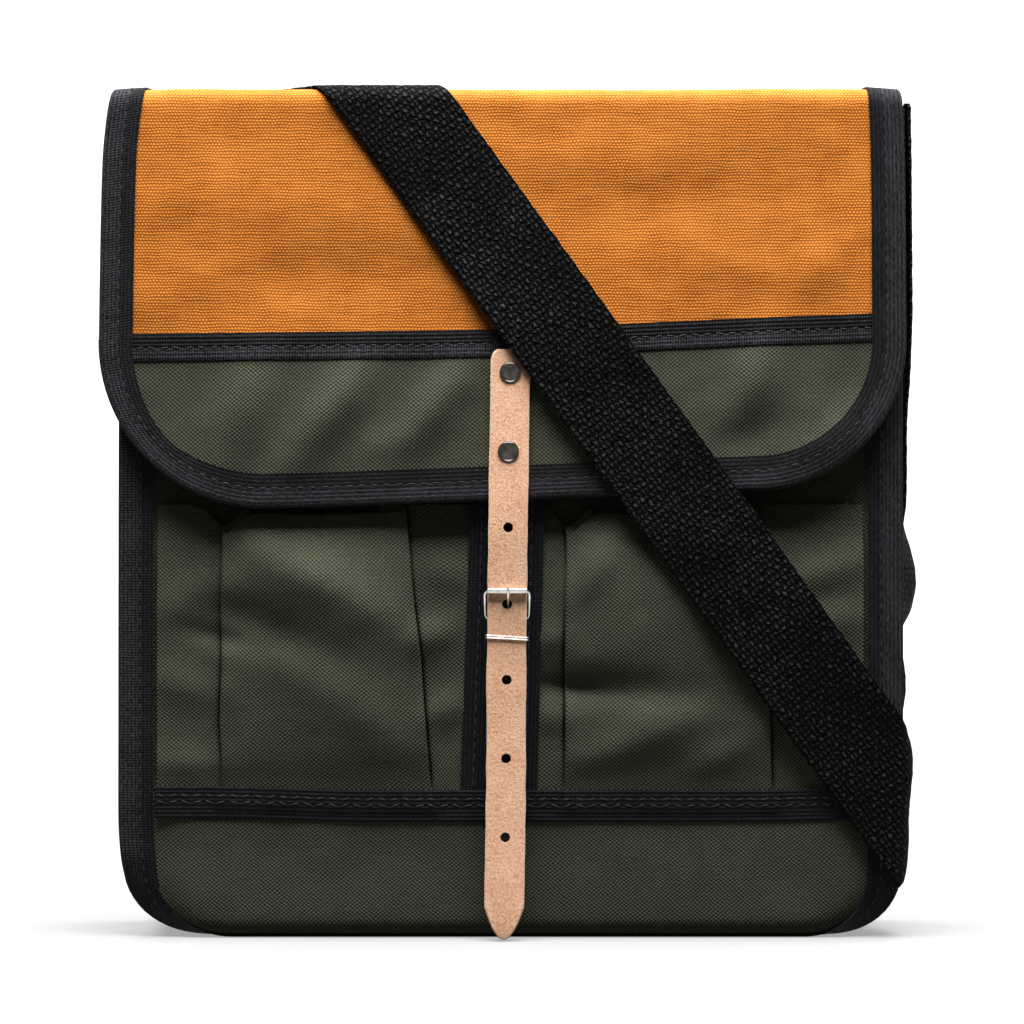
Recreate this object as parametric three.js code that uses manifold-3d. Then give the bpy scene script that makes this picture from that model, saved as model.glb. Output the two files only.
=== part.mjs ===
import * as THREE from 'three';
import { mergeVertices } from 'three/addons/utils/BufferGeometryUtils.js';
import Module from 'manifold-3d';

// A canvas shoulder bag standing on its boxed foot. Millimetres, +Z up, the front faces -Y.

// Thickness of each material, and the space left between two pieces.
const CLOTH = 1.4;
const POCKET_CLOTH = 1.2;
const TAPE = 1.0;
const WEBBING = 1.7;
const LEATHER = 2.0;
const TAB_TAPE = 1.6;
const GAP = 0.4;

// Body: half width from the middle to the edge of the bound seam, and heights of its three cloths.
const BODY_HALF_WIDTH = 184.6;
const BODY_CENTRE_X = 2.4;
const FRONT_HEIGHT = 368;
const BACK_HEIGHT = 386;
const GUSSET_HEIGHT = 372;
const FRONT_BULGE = 4;
const BACK_BULGE = 3;
const GUSSET_SIDE_BULGE = 6.5;
const GUSSET_FOOT_BULGE = 1.2;

// Bound seam: flange width, corner of the seam line, and where the flange turns under the foot.
const FLANGE = 16.5;
const SEAM_FOOT = 2;
const SEAM_CORNER = 28;
const TURN_FROM = 45;
const TURN_LENGTH = 59;
const TAPER_FROM = 60;
const FOOT_TAPER = 5;

// How far the front and the back stand from the middle plane at each height.
const FRONT_LEAN = [
  { z: 0, y: 47.2 },
  { z: 60, y: 49 },
  { z: 110, y: 48.6 },
  { z: 150, y: 48.2 },
  { z: 260, y: 45 },
  { z: 372, y: 38 },
];
const BACK_LEAN = [
  { z: 0, y: 44 },
  { z: 60, y: 46 },
  { z: 150, y: 47 },
  { z: 260, y: 45.5 },
  { z: 390, y: 42 },
];

// Flap: its run from the back over the top, its edges, and the two lines across its front.
const FLAP_BACK_Y = 48.2;
const FLAP_BACK_START = 338;
const FLAP_TOP_Z = 399.2;
const FLAP_BACK_RADIUS = 14;
const FLAP_FRONT_RADIUS = 7;
const FLAP_TOP_FRONT_Y = -39.2;
const FLAP_LEAN = 0.0762;
const FLAP_BINDING = 16.2;
const FLAP_CORNER_LEFT = 80;
const FLAP_CORNER_RIGHT = 68;
const FLAP_EDGE_DROOP = 3;
const FLAP_EDGES = [
  { run: 0, left: -172, right: 180 },
  { run: 60, left: -181, right: 183 },
  { run: 125, left: -184, right: 184 },
  { run: 145, left: -186, right: 186 },
  { run: 160, left: -188.2, right: 187 },
  { run: 180, left: -189.9, right: 187.6 },
  { run: 250, left: -191, right: 188 },
  { run: 340, left: -191.5, right: 188 },
];
const FLAP_LINES = [
  { x: -190, seam: 277, hem: 200.5 },
  { x: -100, seam: 278, hem: 202 },
  { x: 0, seam: 279.5, hem: 205.5 },
  { x: 100, seam: 284, hem: 209.5 },
  { x: 190, seam: 287.5, hem: 212.5 },
];
const SEAM_TAPE_WIDTH = 13;

// Soft folds of the flap's front: middle, direction in degrees, length, width and height.
const FLAP_FOLDS = [
  { x: -120, z: 345, turn: -8, length: 75, width: 14, height: 1.1 },
  { x: -95, z: 310, turn: 6, length: 60, width: 12, height: -0.9 },
  { x: 95, z: 350, turn: 8, length: 80, width: 16, height: -0.8 },
  { x: 120, z: 315, turn: -6, length: 60, width: 12, height: 0.9 },
  { x: -115, z: 246, turn: -24, length: 45, width: 9, height: 1.2 },
  { x: -50, z: 232, turn: 30, length: 35, width: 9, height: -0.9 },
  { x: 130, z: 248, turn: 22, length: 40, width: 9, height: 1.0 },
];

// Bellows pockets: face edges at the mouth and at the foot, outer and inner edges, and the pleat.
const POCKET_FOOT = 64;
const POCKET_MOUTH = 197;
const PLEAT_DEPTH = 12;
const PLEAT_LAYER = 2;
const POCKET_LIFT = 1.7;
const POCKETS = [
  {
    name: 'pocket_left',
    start: { mouth: -163.8, foot: -163.8 },
    faceFrom: { mouth: -133.2, foot: -133.2 },
    faceTo: { mouth: -47.2, foot: -34.5 },
    end: { mouth: -14, foot: -18.6 },
  },
  {
    name: 'pocket_right',
    start: { mouth: 16.4, foot: 12.6 },
    faceFrom: { mouth: 28.4, foot: 28.4 },
    faceTo: { mouth: 118.2, foot: 125.3 },
    end: { mouth: 168.2, foot: 168.2 },
  },
];
const POCKET_CROWN = [
  { z: 64, rise: 0 },
  { z: 73, rise: 0.8 },
  { z: 95, rise: 2.6 },
  { z: 120, rise: 3.6 },
  { z: 150, rise: 4.8 },
  { z: 175, rise: 3.6 },
  { z: 197, rise: 0.6 },
];

// Tapes round the pockets.
const BASE_TAPE_FOOT = 56.5;
const BASE_TAPE_TOP = 71.5;
const DIVIDER = { topLeft: -16.2, topRight: 18.6, footLeft: -21.4, footRight: 14.8 };
const DIVIDER_FOOT = 66;
const DIVIDER_TOP = 214;
const DIVIDER_LIFT = 3.2;

// Leather closure strap, seen from its top end down to the tip.
const STRAP_WIDTH = 18.6;
const STRAP_TOP_Z = 276.5;
const STRAP_TIP_Z = 1;
const STRAP_ROUND = 6;
const STRAP_POINT = 15;
const STRAP_PATH = [
  { z: 0, x: -1.2, y: -68.6 },
  { z: 20, x: -0.7, y: -67.4 },
  { z: 60, x: 0, y: -65.4 },
  { z: 100, x: 0.4, y: -64 },
  { z: 118, x: 0.5, y: -63.9 },
  { z: 130, x: 0.5, y: -64.3 },
  { z: 150, x: 0.7, y: -64.6 },
  { z: 164, x: 0.8, y: -64.7 },
  { z: 190, x: 1.2, y: -64.7 },
  { z: 205, x: 1.4, y: -64.1 },
  { z: 230, x: 1.6, y: -62.2 },
  { z: 280, x: 2.3, y: -58.4 },
];
const HOLE_RADIUS = 2.3;
const HOLE_HEIGHTS = [193, 157.2, 121.8, 85.1, 48.4];
const RIVET_RADIUS = 5;
const RIVET_DOME = 1.7;
const RIVET_SHANK = 1.6;
const RIVETS = [
  { name: 'rivet_upper', x: 2.1, z: 265.5 },
  { name: 'rivet_lower', x: 1.3, z: 228.4 },
];

// Roller buckle, its keeper loop and the tape tab that holds it.
const BUCKLE_X = 0.7;
const BUCKLE_HEEL = { y: -59.8, z: 150 };
const BUCKLE_BAR = { y: -67.9, z: 163 };
const BUCKLE_WIRE = 1.7;
const BUCKLE_OPENING = 19.2;
const ROLLER_RADIUS = 1.8;
const ROLLER_BORE = 1.45;
const TONGUE_RADIUS = 0.8;
const TONGUE_PATH = [
  { y: -61.6, z: 153.9 },
  { y: -62.7, z: 156 },
  { y: -64.5, z: 157.5 },
  { y: -67.2, z: 159.6 },
  { y: -70.6, z: 162 },
  { y: -71.2, z: 164.5 },
  { y: -70.6, z: 166.8 },
];
const KEEPER_Z = 141.5;
const KEEPER_HEIGHT = 2;
const KEEPER_WIRE = 0.9;
const KEEPER_FRONT_Y = -66.2;
const KEEPER_BACK_Y = -59.8;
const TAB_WIDTH = 17;
const TAB_PATH = [
  { y: -57.5, z: 124 },
  { y: -57.5, z: 150 },
  { y: -58.2, z: 151.8 },
  { y: -59.8, z: 152.4 },
  { y: -61.4, z: 151.8 },
  { y: -62.1, z: 150 },
  { y: -62, z: 132 },
  { y: -60.4, z: 118 },
  { y: -57.4, z: 95 },
  { y: -56.6, z: 74 },
];

// Shoulder strap: a ribbon that is laid out flat beside the bag, folded, and wrapped round it.
const WEB_WIDTH = 48;
const WEB_TAIL = 58;
const WEB_RUN = 752;
const WEB_TOP = { across: 231, up: 390 };
const WEB_FOLD = { across: 209, up: 30.1 };
const WEB_SWING = 14;
const WEB_RISE = { across: -0.583, up: 0.812 };
const WEB_FOLD_RADIUS = 1.2;
const WEB_CORNER_RADIUS = 6;
const WEB_EDGE_Y = -53.2;
const WEB_OVER_FLAP = 3;
const WEB_TOP_START = 392.5;
const WEB_TOP_RADIUS = 8.6;
const WEB_TOP_Z = 401.1;
const WEB_TOP_BACK_Y = 35.3;
const WEB_BACK_RADIUS = 17;
const WEB_LEFT_X = -187;
const WEB_LEFT_RADIUS = 9;
const WEB_LEFT_RECESS = 7;
const WEB_SIDE = [
  { z: 15, x: 180.6 },
  { z: 27, x: 186.2 },
  { z: 41, x: 189 },
  { z: 60, x: 189.6 },
  { z: 95, x: 189.4 },
  { z: 125, x: 186.2 },
  { z: 171, x: 189.2 },
  { z: 250, x: 185.8 },
  { z: 300, x: 189.4 },
  { z: 395, x: 190 },
];
const WEB_FRONT = [
  { run: 0, y: -53.4 },
  { run: 30, y: -54.4 },
  { run: 70, y: -57.4 },
  { run: 110, y: -61.2 },
  { run: 160, y: -64.4 },
  { run: 190, y: -64.6 },
  { run: 225, y: -63.8 },
  { run: 260, y: -62.4 },
  { run: 310, y: -60.2 },
  { run: 345, y: -56 },
  { run: 380, y: -50 },
  { run: 434, y: -44 },
];

// Moves the bag so that the middle of its foot is the origin.
const DEPTH_SHIFT = 9.6;

const OLIVE = new THREE.MeshStandardMaterial({ name: 'olive_fabric', color: 0x4b4b3c, roughness: 0.8 });
const ORANGE = new THREE.MeshStandardMaterial({ name: 'orange_canvas', color: 0xc3722c, roughness: 0.9 });
const BLACK = new THREE.MeshStandardMaterial({ name: 'black_tape', color: 0x26262a, roughness: 0.7 });
const WEB = new THREE.MeshStandardMaterial({ name: 'black_webbing', color: 0x161616, roughness: 0.9 });
const TAN = new THREE.MeshStandardMaterial({ name: 'natural_leather', color: 0xdca988, roughness: 0.6 });
const NICKEL = new THREE.MeshStandardMaterial({
  name: 'nickel',
  color: 0xc8c8c6,
  metalness: 1,
  roughness: 0.25,
});
const DARK_NICKEL = new THREE.MeshStandardMaterial({
  name: 'dark_nickel',
  color: 0x4a423e,
  metalness: 1,
  roughness: 0.4,
});

const clamp = THREE.MathUtils.clamp;
const lerp = THREE.MathUtils.lerp;
const smooth = THREE.MathUtils.smoothstep;
const vec = (x, y, z) => new THREE.Vector3(x, y, z);

// Even steps from one number to another, both ends included.
function steps(from, to, count) {
  return Array.from({ length: count + 1 }, (_, i) => lerp(from, to, i / count));
}

// Value of one column of a table at a given value of another, as a smooth curve through the rows.
function read(table, key, at, column) {
  let i = 0;
  while (i < table.length - 2 && at > table[i + 1][key]) {
    i += 1;
  }
  const slope = (k) => {
    const a = table[Math.max(k - 1, 0)];
    const b = table[Math.min(k + 1, table.length - 1)];
    return (b[column] - a[column]) / (b[key] - a[key]);
  };
  const span = table[i + 1][key] - table[i][key];
  const t = clamp((at - table[i][key]) / span, 0, 1);
  const t2 = t * t;
  const t3 = t2 * t;
  return (2 * t3 - 3 * t2 + 1) * table[i][column] + (t3 - 2 * t2 + t) * span * slope(i)
    + (3 * t2 - 2 * t3) * table[i + 1][column] + (t3 - t2) * span * slope(i + 1);
}

// Height that the folds of a table add at a spot of a cloth.
function foldLift(folds, x, z) {
  return folds.reduce((sum, fold) => {
    const angle = THREE.MathUtils.degToRad(fold.turn);
    const dx = x - fold.x;
    const dz = z - fold.z;
    const along = (dx * Math.cos(angle) + dz * Math.sin(angle)) / fold.length;
    const across = (dz * Math.cos(angle) - dx * Math.sin(angle)) / fold.width;
    return sum + fold.height * Math.exp(-along * along - across * across);
  }, 0);
}

// A closed cloth wall: a grid of points on its middle surface, thickened to both sides.
function wall(columns, rows, thickness, point) {
  const nu = columns.length - 1;
  const nv = rows.length - 1;
  const grid = columns.map((u) => rows.map((v) => point(u, v)));
  const box = new THREE.BoxGeometry(1, 1, 1, nu, nv, 1);
  box.deleteAttribute('normal');
  box.deleteAttribute('uv');
  const geometry = mergeVertices(box, 1e-5);
  const spot = geometry.attributes.position;
  for (let k = 0; k < spot.count; k += 1) {
    const i = Math.round((spot.getX(k) + 0.5) * nu);
    const j = Math.round((spot.getY(k) + 0.5) * nv);
    const du = grid[Math.min(i + 1, nu)][j].clone().sub(grid[Math.max(i - 1, 0)][j]);
    const dv = grid[i][Math.min(j + 1, nv)].clone().sub(grid[i][Math.max(j - 1, 0)]);
    const normal = du.cross(dv).normalize();
    const p = grid[i][j].clone().addScaledVector(normal, spot.getZ(k) * thickness);
    spot.setXYZ(k, p.x, p.y, p.z);
  }
  return geometry;
}

// Middle surface of the front and of the back cloth.
function panelY(facing, x, z) {
  const share = (x - BODY_CENTRE_X) / BODY_HALF_WIDTH;
  const swell = (1 - share * share) * Math.sin(Math.PI * clamp(z / GUSSET_HEIGHT, 0, 1));
  if (facing < 0) {
    return -read(FRONT_LEAN, 'z', z, 'y') - FRONT_BULGE * swell;
  }
  return read(BACK_LEAN, 'z', z, 'y') + BACK_BULGE * swell;
}

// The sides lean in a little above the foot.
function sideTaper(z) {
  const share = clamp(1 - z / TAPER_FROM, 0, 1);
  return FOOT_TAPER * share * share;
}

// Heights at which the body's cloths have a row of points above the foot's corners.
const SIDE_ROWS = [290, 215, 150, 96, 60, 42];

// Stations along the seam line: down the left side, along the foot and up the right side.
function seamStations(top) {
  const side = BODY_HALF_WIDTH - FLANGE;
  const inner = side - SEAM_CORNER;
  const corner = SEAM_FOOT + SEAM_CORNER;
  const left = [
    ...[top, ...SIDE_ROWS].map((z) => ({ x: -side, z, nx: -1, nz: 0, below: TURN_FROM - z })),
    ...steps(0, Math.PI / 2, 6).map((angle) => ({
      x: -inner - SEAM_CORNER * Math.cos(angle),
      z: corner - SEAM_CORNER * Math.sin(angle),
      nx: -Math.cos(angle),
      nz: -Math.sin(angle),
      below: TURN_FROM - corner + SEAM_CORNER * angle,
    })),
    { x: -inner / 2, z: SEAM_FOOT, nx: 0, nz: -1, below: TURN_LENGTH },
  ];
  const right = left.map((at) => ({ ...at, x: -at.x, nx: -at.nx })).reverse();
  const middle = { x: 0, z: SEAM_FOOT, nx: 0, nz: -1, below: TURN_LENGTH };
  return [...left, middle, ...right].map((at) => ({
    ...at,
    turn: (Math.PI / 2) * smooth(at.below, 0, TURN_LENGTH),
  }));
}

// A spot beside the seam line: `out` along the flange and `lift` off its middle plane.
function seamSpot(facing, station, out, lift) {
  const turned = out > 0 ? station.turn : 0;
  const inPlane = out * Math.cos(turned) + lift * Math.sin(turned);
  const inward = out > 0 ? out * Math.sin(turned) : 0;
  const x = station.x + station.nx * inPlane;
  const z = station.z + station.nz * inPlane;
  const middle = panelY(facing, BODY_CENTRE_X + station.x, station.z);
  const y = middle + facing * (lift * Math.cos(turned) - inward);
  return vec(BODY_CENTRE_X + x - Math.sign(station.x) * sideTaper(station.z), y, z);
}

// Front or back cloth of the body, with rounded lower corners.
function bodyPanel(facing, height, columns) {
  const reach = SEAM_CORNER - 0.4;
  const centre = SEAM_FOOT + SEAM_CORNER;
  const straight = BODY_HALF_WIDTH - FLANGE - SEAM_CORNER;
  const low = centre - reach;
  const corner = [0, 1, 4, 8.5, 16].map((up) => low + up);
  const rows = [...corner, centre, ...SIDE_ROWS.slice().reverse(), height];
  return wall(steps(-1, 1, columns), rows, CLOTH, (u, z) => {
    const drop = Math.max(centre - z, 0);
    const half = straight + Math.sqrt(Math.max(reach * reach - drop * drop, 0)) - sideTaper(z);
    const x = BODY_CENTRE_X - facing * u * half;
    return vec(x, panelY(facing, x, z), z);
  });
}

// Tape folded round the seam flange.
function bodyBinding(facing, top) {
  const section = [
    { out: -1.5, lift: 1.5 },
    { out: 0, lift: 1.5 },
    { out: 0.2, lift: 1.5 },
    { out: 14.8, lift: 1.5 },
    { out: 16, lift: 0 },
    { out: 14.8, lift: -1.5 },
    { out: 8, lift: -1.5 },
  ];
  const stations = seamStations(top);
  return wall(facing < 0 ? stations : stations.reverse(), section, TAPE, (station, at) => (
    seamSpot(facing, station, at.out, at.lift)
  ));
}

// Side and foot strip between the two panels.
function gussetStrip() {
  const stations = seamStations(GUSSET_HEIGHT);
  return wall(stations, steps(0, 1, 6), CLOTH, (station, v) => {
    const lies = station.turn / (Math.PI / 2);
    const swell = Math.sin(Math.PI * v) ** (1 + lies);
    const bulge = lerp(GUSSET_SIDE_BULGE, GUSSET_FOOT_BULGE, lies) * swell;
    const out = 3 * Math.cos(station.turn) - 3.3 * Math.sin(station.turn) + bulge;
    const x = BODY_CENTRE_X + station.x + station.nx * out - Math.sign(station.x) * sideTaper(station.z);
    const z = station.z + station.nz * out;
    const near = panelY(-1, x, z) + CLOTH / 2 + GAP;
    const far = panelY(1, x, z) - CLOTH / 2 - GAP;
    return vec(x, lerp(near, far, v), z);
  });
}

// The flap's run in side view: up the back, over the top and down the front.
const FLAP_TURN = Math.PI / 2 - Math.atan(FLAP_LEAN);
const FLAP_BACK_RUN = FLAP_TOP_Z - FLAP_BACK_RADIUS - FLAP_BACK_START;
const FLAP_TOP_RUN = FLAP_BACK_RUN + (FLAP_BACK_RADIUS * Math.PI) / 2;
const FLAP_ROLL_RUN = FLAP_TOP_RUN + FLAP_BACK_Y - FLAP_BACK_RADIUS - FLAP_TOP_FRONT_Y;
const FLAP_FRONT_RUN = FLAP_ROLL_RUN + FLAP_FRONT_RADIUS * FLAP_TURN;
const FLAP_FRONT_Z = FLAP_TOP_Z - FLAP_FRONT_RADIUS + FLAP_FRONT_RADIUS * Math.cos(FLAP_TURN);

// Runs at which the flap's grid has a row while it bends over the top.
const FLAP_BEND_RUNS = [
  0,
  ...steps(FLAP_BACK_RUN, FLAP_TOP_RUN, 3),
  (FLAP_TOP_RUN + FLAP_ROLL_RUN) / 2,
  ...steps(FLAP_ROLL_RUN, FLAP_FRONT_RUN, 4),
];

// Run along the flap at which its front reaches a height.
function flapRun(z) {
  return FLAP_FRONT_RUN + (FLAP_FRONT_Z - z) / Math.sin(FLAP_TURN);
}

// A spot of the flap: `run` from its sewn edge on the back, `lift` off its middle surface.
function flapSpot(x, run, lift) {
  let y = FLAP_BACK_Y;
  let z = FLAP_BACK_START + run;
  let angle = 0;
  if (run > FLAP_FRONT_RUN) {
    angle = Math.PI / 2 + FLAP_TURN;
    const down = run - FLAP_FRONT_RUN;
    y = FLAP_TOP_FRONT_Y - FLAP_FRONT_RADIUS * Math.sin(FLAP_TURN) - down * Math.cos(FLAP_TURN);
    z = FLAP_FRONT_Z - down * Math.sin(FLAP_TURN);
  } else if (run > FLAP_ROLL_RUN) {
    const roll = (run - FLAP_ROLL_RUN) / FLAP_FRONT_RADIUS;
    angle = Math.PI / 2 + roll;
    y = FLAP_TOP_FRONT_Y - FLAP_FRONT_RADIUS * Math.sin(roll);
    z = FLAP_TOP_Z - FLAP_FRONT_RADIUS * (1 - Math.cos(roll));
  } else if (run > FLAP_TOP_RUN) {
    angle = Math.PI / 2;
    y = FLAP_BACK_Y - FLAP_BACK_RADIUS - (run - FLAP_TOP_RUN);
    z = FLAP_TOP_Z;
  } else if (run > FLAP_BACK_RUN) {
    angle = (run - FLAP_BACK_RUN) / FLAP_BACK_RADIUS;
    y = FLAP_BACK_Y - FLAP_BACK_RADIUS * (1 - Math.cos(angle));
    z = FLAP_TOP_Z - FLAP_BACK_RADIUS * (1 - Math.sin(angle));
  }
  const front = smooth(run, FLAP_FRONT_RUN, FLAP_FRONT_RUN + 25);
  const ridge = Math.max(0, Math.sin(Math.PI * clamp((run - FLAP_BACK_RUN) / 110, 0, 1)));
  const deep = Math.min(x - flapEdge(run, 'left'), flapEdge(run, 'right') - x);
  const droop = FLAP_EDGE_DROOP * ridge * clamp(1 - deep / FLAP_BINDING, 0, 1);
  const off = lift + front * foldLift(FLAP_FOLDS, x, z) - droop;
  return vec(x, y + off * Math.cos(angle), z + off * Math.sin(angle));
}

// A flap line at a given x, and the flap's edge at a given run.
const seamZ = (x) => read(FLAP_LINES, 'x', x, 'seam');
const hemZ = (x) => read(FLAP_LINES, 'x', x, 'hem');
const flapEdge = (run, side) => read(FLAP_EDGES, 'run', run, side);

// Outline of the flap as flat spots (x, run), from the back left round the hem to the back right.
function flapOutline() {
  const corner = (side, radius, angle) => {
    const x = flapEdge(300, side) - Math.sign(flapEdge(300, side)) * radius * (1 - Math.cos(angle));
    return { x, run: flapRun(hemZ(x) + radius * (1 - Math.sin(angle))) };
  };
  const leftStart = corner('left', FLAP_CORNER_LEFT, 0).run;
  const rightStart = corner('right', FLAP_CORNER_RIGHT, 0).run;
  const edge = (side, end) => [
    ...FLAP_BEND_RUNS,
    ...steps(FLAP_FRONT_RUN, end, 4).slice(1, -1),
  ].map((run) => ({ x: flapEdge(run, side), run, inX: -Math.sign(flapEdge(run, side)), inRun: 0 }));
  const hemFrom = flapEdge(300, 'left') + FLAP_CORNER_LEFT;
  const hemTo = flapEdge(300, 'right') - FLAP_CORNER_RIGHT;
  return [
    ...edge('left', leftStart),
    ...steps(0, Math.PI / 2, 8).map((angle) => corner('left', FLAP_CORNER_LEFT, angle)),
    ...steps(hemFrom, hemTo, 6).slice(1, -1).map((x) => ({ x, run: flapRun(hemZ(x)) })),
    ...steps(Math.PI / 2, 0, 8).map((angle) => corner('right', FLAP_CORNER_RIGHT, angle)),
    ...edge('right', rightStart).reverse(),
  ];
}

// Tape folded round the flap's edge.
function flapBindingTape() {
  const outline = flapOutline();
  const stations = outline.map((spot, i) => {
    const a = outline[Math.max(i - 1, 0)];
    const b = outline[Math.min(i + 1, outline.length - 1)];
    const length = Math.hypot(b.x - a.x, b.run - a.run);
    return { inX: (b.run - a.run) / length, inRun: -(b.x - a.x) / length, ...spot };
  });
  const section = [
    { deep: FLAP_BINDING, lift: 1.6 },
    { deep: 1.7, lift: 1.6 },
    { deep: 0.5, lift: 0 },
    { deep: 1.7, lift: -1.6 },
    { deep: FLAP_BINDING, lift: -1.6 },
  ];
  return wall(stations, section, TAPE, (at, part) => (
    flapSpot(at.x + at.inX * part.deep, at.run + at.inRun * part.deep, part.lift)
  ));
}

// Orange upper cloth of the flap.
function flapUpperCloth() {
  const inset = 2.4;
  const runs = FLAP_BEND_RUNS.map((run) => ({ run }));
  const rows = [...runs, ...steps(0, 1, 5).slice(1).map((share) => ({ share }))];
  const edge = [0, (FLAP_BINDING - inset) / 374];
  const columns = [...edge, ...steps(0.12, 0.88, 8), ...edge.map((u) => 1 - u).reverse()];
  return wall(columns, rows, CLOTH, (u, row) => {
    const probe = row.run ?? lerp(FLAP_FRONT_RUN, flapRun(282), row.share);
    const x = lerp(flapEdge(probe, 'left') + inset, flapEdge(probe, 'right') - inset, 1 - u);
    const end = flapRun(seamZ(x) + GAP / 2);
    return flapSpot(x, row.run ?? lerp(FLAP_FRONT_RUN, end, row.share), 0);
  });
}

// Olive lower cloth of the flap, its two lower corners rounded.
function flapLowerCloth() {
  const inset = 1.8;
  const rows = [0, 0.2, 0.4, 0.6, 0.76, 0.88, 0.96, 1];
  const bite = (radius, above) => {
    const drop = clamp((radius - above) / (radius - inset), 0, 1);
    return inset + (radius - inset) * (1 - Math.sqrt(1 - drop * drop));
  };
  return wall(steps(0, 1, 14), rows, CLOTH, (u, share) => {
    const above = (1 - share) * (seamZ(0) - hemZ(0) - inset) + inset;
    const left = flapEdge(300, 'left') + bite(FLAP_CORNER_LEFT, above);
    const right = flapEdge(300, 'right') - bite(FLAP_CORNER_RIGHT, above);
    const x = lerp(left, right, 1 - u);
    const z = lerp(seamZ(x) - GAP / 2, hemZ(x) + inset, share);
    return flapSpot(x, flapRun(z), 0);
  });
}

// Tape over the joint of the two flap cloths.
function flapSeamTape() {
  const lift = CLOTH / 2 + GAP + TAPE / 2;
  const from = flapEdge(270, 'left') + FLAP_BINDING + 1;
  const to = flapEdge(270, 'right') - FLAP_BINDING - 1;
  const half = SEAM_TAPE_WIDTH / 2;
  return wall(steps(to, from, 16), [half, 0, -half], TAPE, (x, up) => (
    flapSpot(x, flapRun(seamZ(x) + up), lift)
  ));
}

// Lift of a pocket's cloth off the front panel, as a section from one sewn edge to the other.
function pocketSection(pocket, z) {
  const share = clamp((POCKET_MOUTH - z) / (POCKET_MOUTH - POCKET_FOOT), 0, 1);
  const at = (line) => lerp(line.mouth, line.foot, share);
  const from = at(pocket.faceFrom);
  const to = at(pocket.faceTo);
  const low = POCKET_LIFT;
  const inner = low + PLEAT_LAYER;
  const top = inner + PLEAT_LAYER;
  const pleat = (edge, side) => [
    { x: edge + side * (PLEAT_DEPTH - 0.8), lift: low },
    { x: edge + side * PLEAT_DEPTH, lift: low + PLEAT_LAYER / 2 },
    { x: edge + side * (PLEAT_DEPTH - 0.8), lift: inner },
    { x: edge + side * 0.8, lift: inner },
    { x: edge, lift: inner + PLEAT_LAYER / 2 },
    { x: edge + side * 0.8, lift: top },
  ];
  const rise = read(POCKET_CROWN, 'z', z, 'rise');
  const face = steps(0, 1, 7).slice(1, -1).map((t) => ({
    x: lerp(from, to, t),
    lift: top + rise * (1 - (2 * t - 1) ** 2),
  }));
  return [
    { x: at(pocket.start), lift: low },
    ...pleat(from, 1),
    ...face,
    ...pleat(to, -1).reverse(),
    { x: at(pocket.end), lift: low },
  ];
}

// A bellows pocket: a flat face that stands off the front on a folded pleat at each side.
function pocketCloth(pocket) {
  const rows = [POCKET_FOOT, 74, 90, 112, 138, 162, 182, POCKET_MOUTH];
  const count = pocketSection(pocket, POCKET_FOOT).length;
  return wall(steps(0, count - 1, count - 1), rows, POCKET_CLOTH, (index, z) => {
    const spot = pocketSection(pocket, z)[Math.round(index)];
    return vec(spot.x, panelY(-1, spot.x, z) - spot.lift, z);
  });
}

// Upright tape between the pockets.
function dividerTape() {
  const rows = steps(DIVIDER_FOOT, DIVIDER_TOP, 8);
  return wall(steps(0, 1, 4), rows, TAPE, (u, z) => {
    const share = (z - DIVIDER_FOOT) / (DIVIDER_TOP - DIVIDER_FOOT);
    const left = lerp(DIVIDER.footLeft, DIVIDER.topLeft, share);
    const right = lerp(DIVIDER.footRight, DIVIDER.topRight, share);
    const x = lerp(left, right, u);
    return vec(x, panelY(-1, x, z) - DIVIDER_LIFT, z);
  });
}

// Tape along the foot of the pockets; it rides over their folded cloth.
function baseTape() {
  const from = BODY_CENTRE_X - BODY_HALF_WIDTH + FLANGE + 2.4;
  const to = BODY_CENTRE_X + BODY_HALF_WIDTH - FLANGE - 2.4;
  const overFace = (x) => POCKETS.reduce((most, pocket) => (
    Math.max(most, Math.min(
      smooth(x, pocket.faceFrom.foot - 6, pocket.faceFrom.foot - 1),
      smooth(-x, -pocket.faceTo.foot - 6, -pocket.faceTo.foot - 1),
    ))
  ), 0);
  const faceLift = POCKET_LIFT + 2 * PLEAT_LAYER + 2.2;
  const stripLift = DIVIDER_LIFT + TAPE + GAP;
  const rows = [
    { z: BASE_TAPE_FOOT, share: 0 },
    { z: BASE_TAPE_FOOT + 3, share: 0.15 },
    { z: POCKET_FOOT - 1.4, share: 1 },
    { z: BASE_TAPE_TOP, share: 1.12 },
  ];
  const flat = CLOTH / 2 + GAP + TAPE / 2;
  return wall(steps(from, to, 30), rows, TAPE, (x, row) => {
    const lift = lerp(flat, lerp(stripLift, faceLift, overFace(x)), row.share);
    return vec(x, panelY(-1, x, row.z) - lift, row.z);
  });
}

const wasm = await Module();
wasm.setup();

function toSolid(geometry) {
  const bare = mergeVertices(geometry.index ? geometry : mergeVertices(geometry, 1e-4), 1e-4);
  return new wasm.Manifold(new wasm.Mesh({
    numProp: 3,
    vertProperties: new Float32Array(bare.attributes.position.array),
    triVerts: new Uint32Array(bare.index.array),
  }));
}

function fromSolid(solid) {
  const mesh = solid.getMesh();
  const geometry = new THREE.BufferGeometry();
  geometry.setAttribute('position', new THREE.BufferAttribute(mesh.vertProperties, 3));
  geometry.setIndex(new THREE.BufferAttribute(mesh.triVerts, 1));
  return geometry;
}

// A geometry with nothing but its points and faces, ready to be joined or cut.
function plain(geometry) {
  const bare = geometry.clone();
  bare.deleteAttribute('normal');
  bare.deleteAttribute('uv');
  return mergeVertices(bare, 1e-4);
}

// A peg along the depth of the bag.
function peg(radius, length, x, y, z, sides) {
  return plain(new THREE.CylinderGeometry(radius, radius, length, sides)).translate(x, y, z);
}

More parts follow.
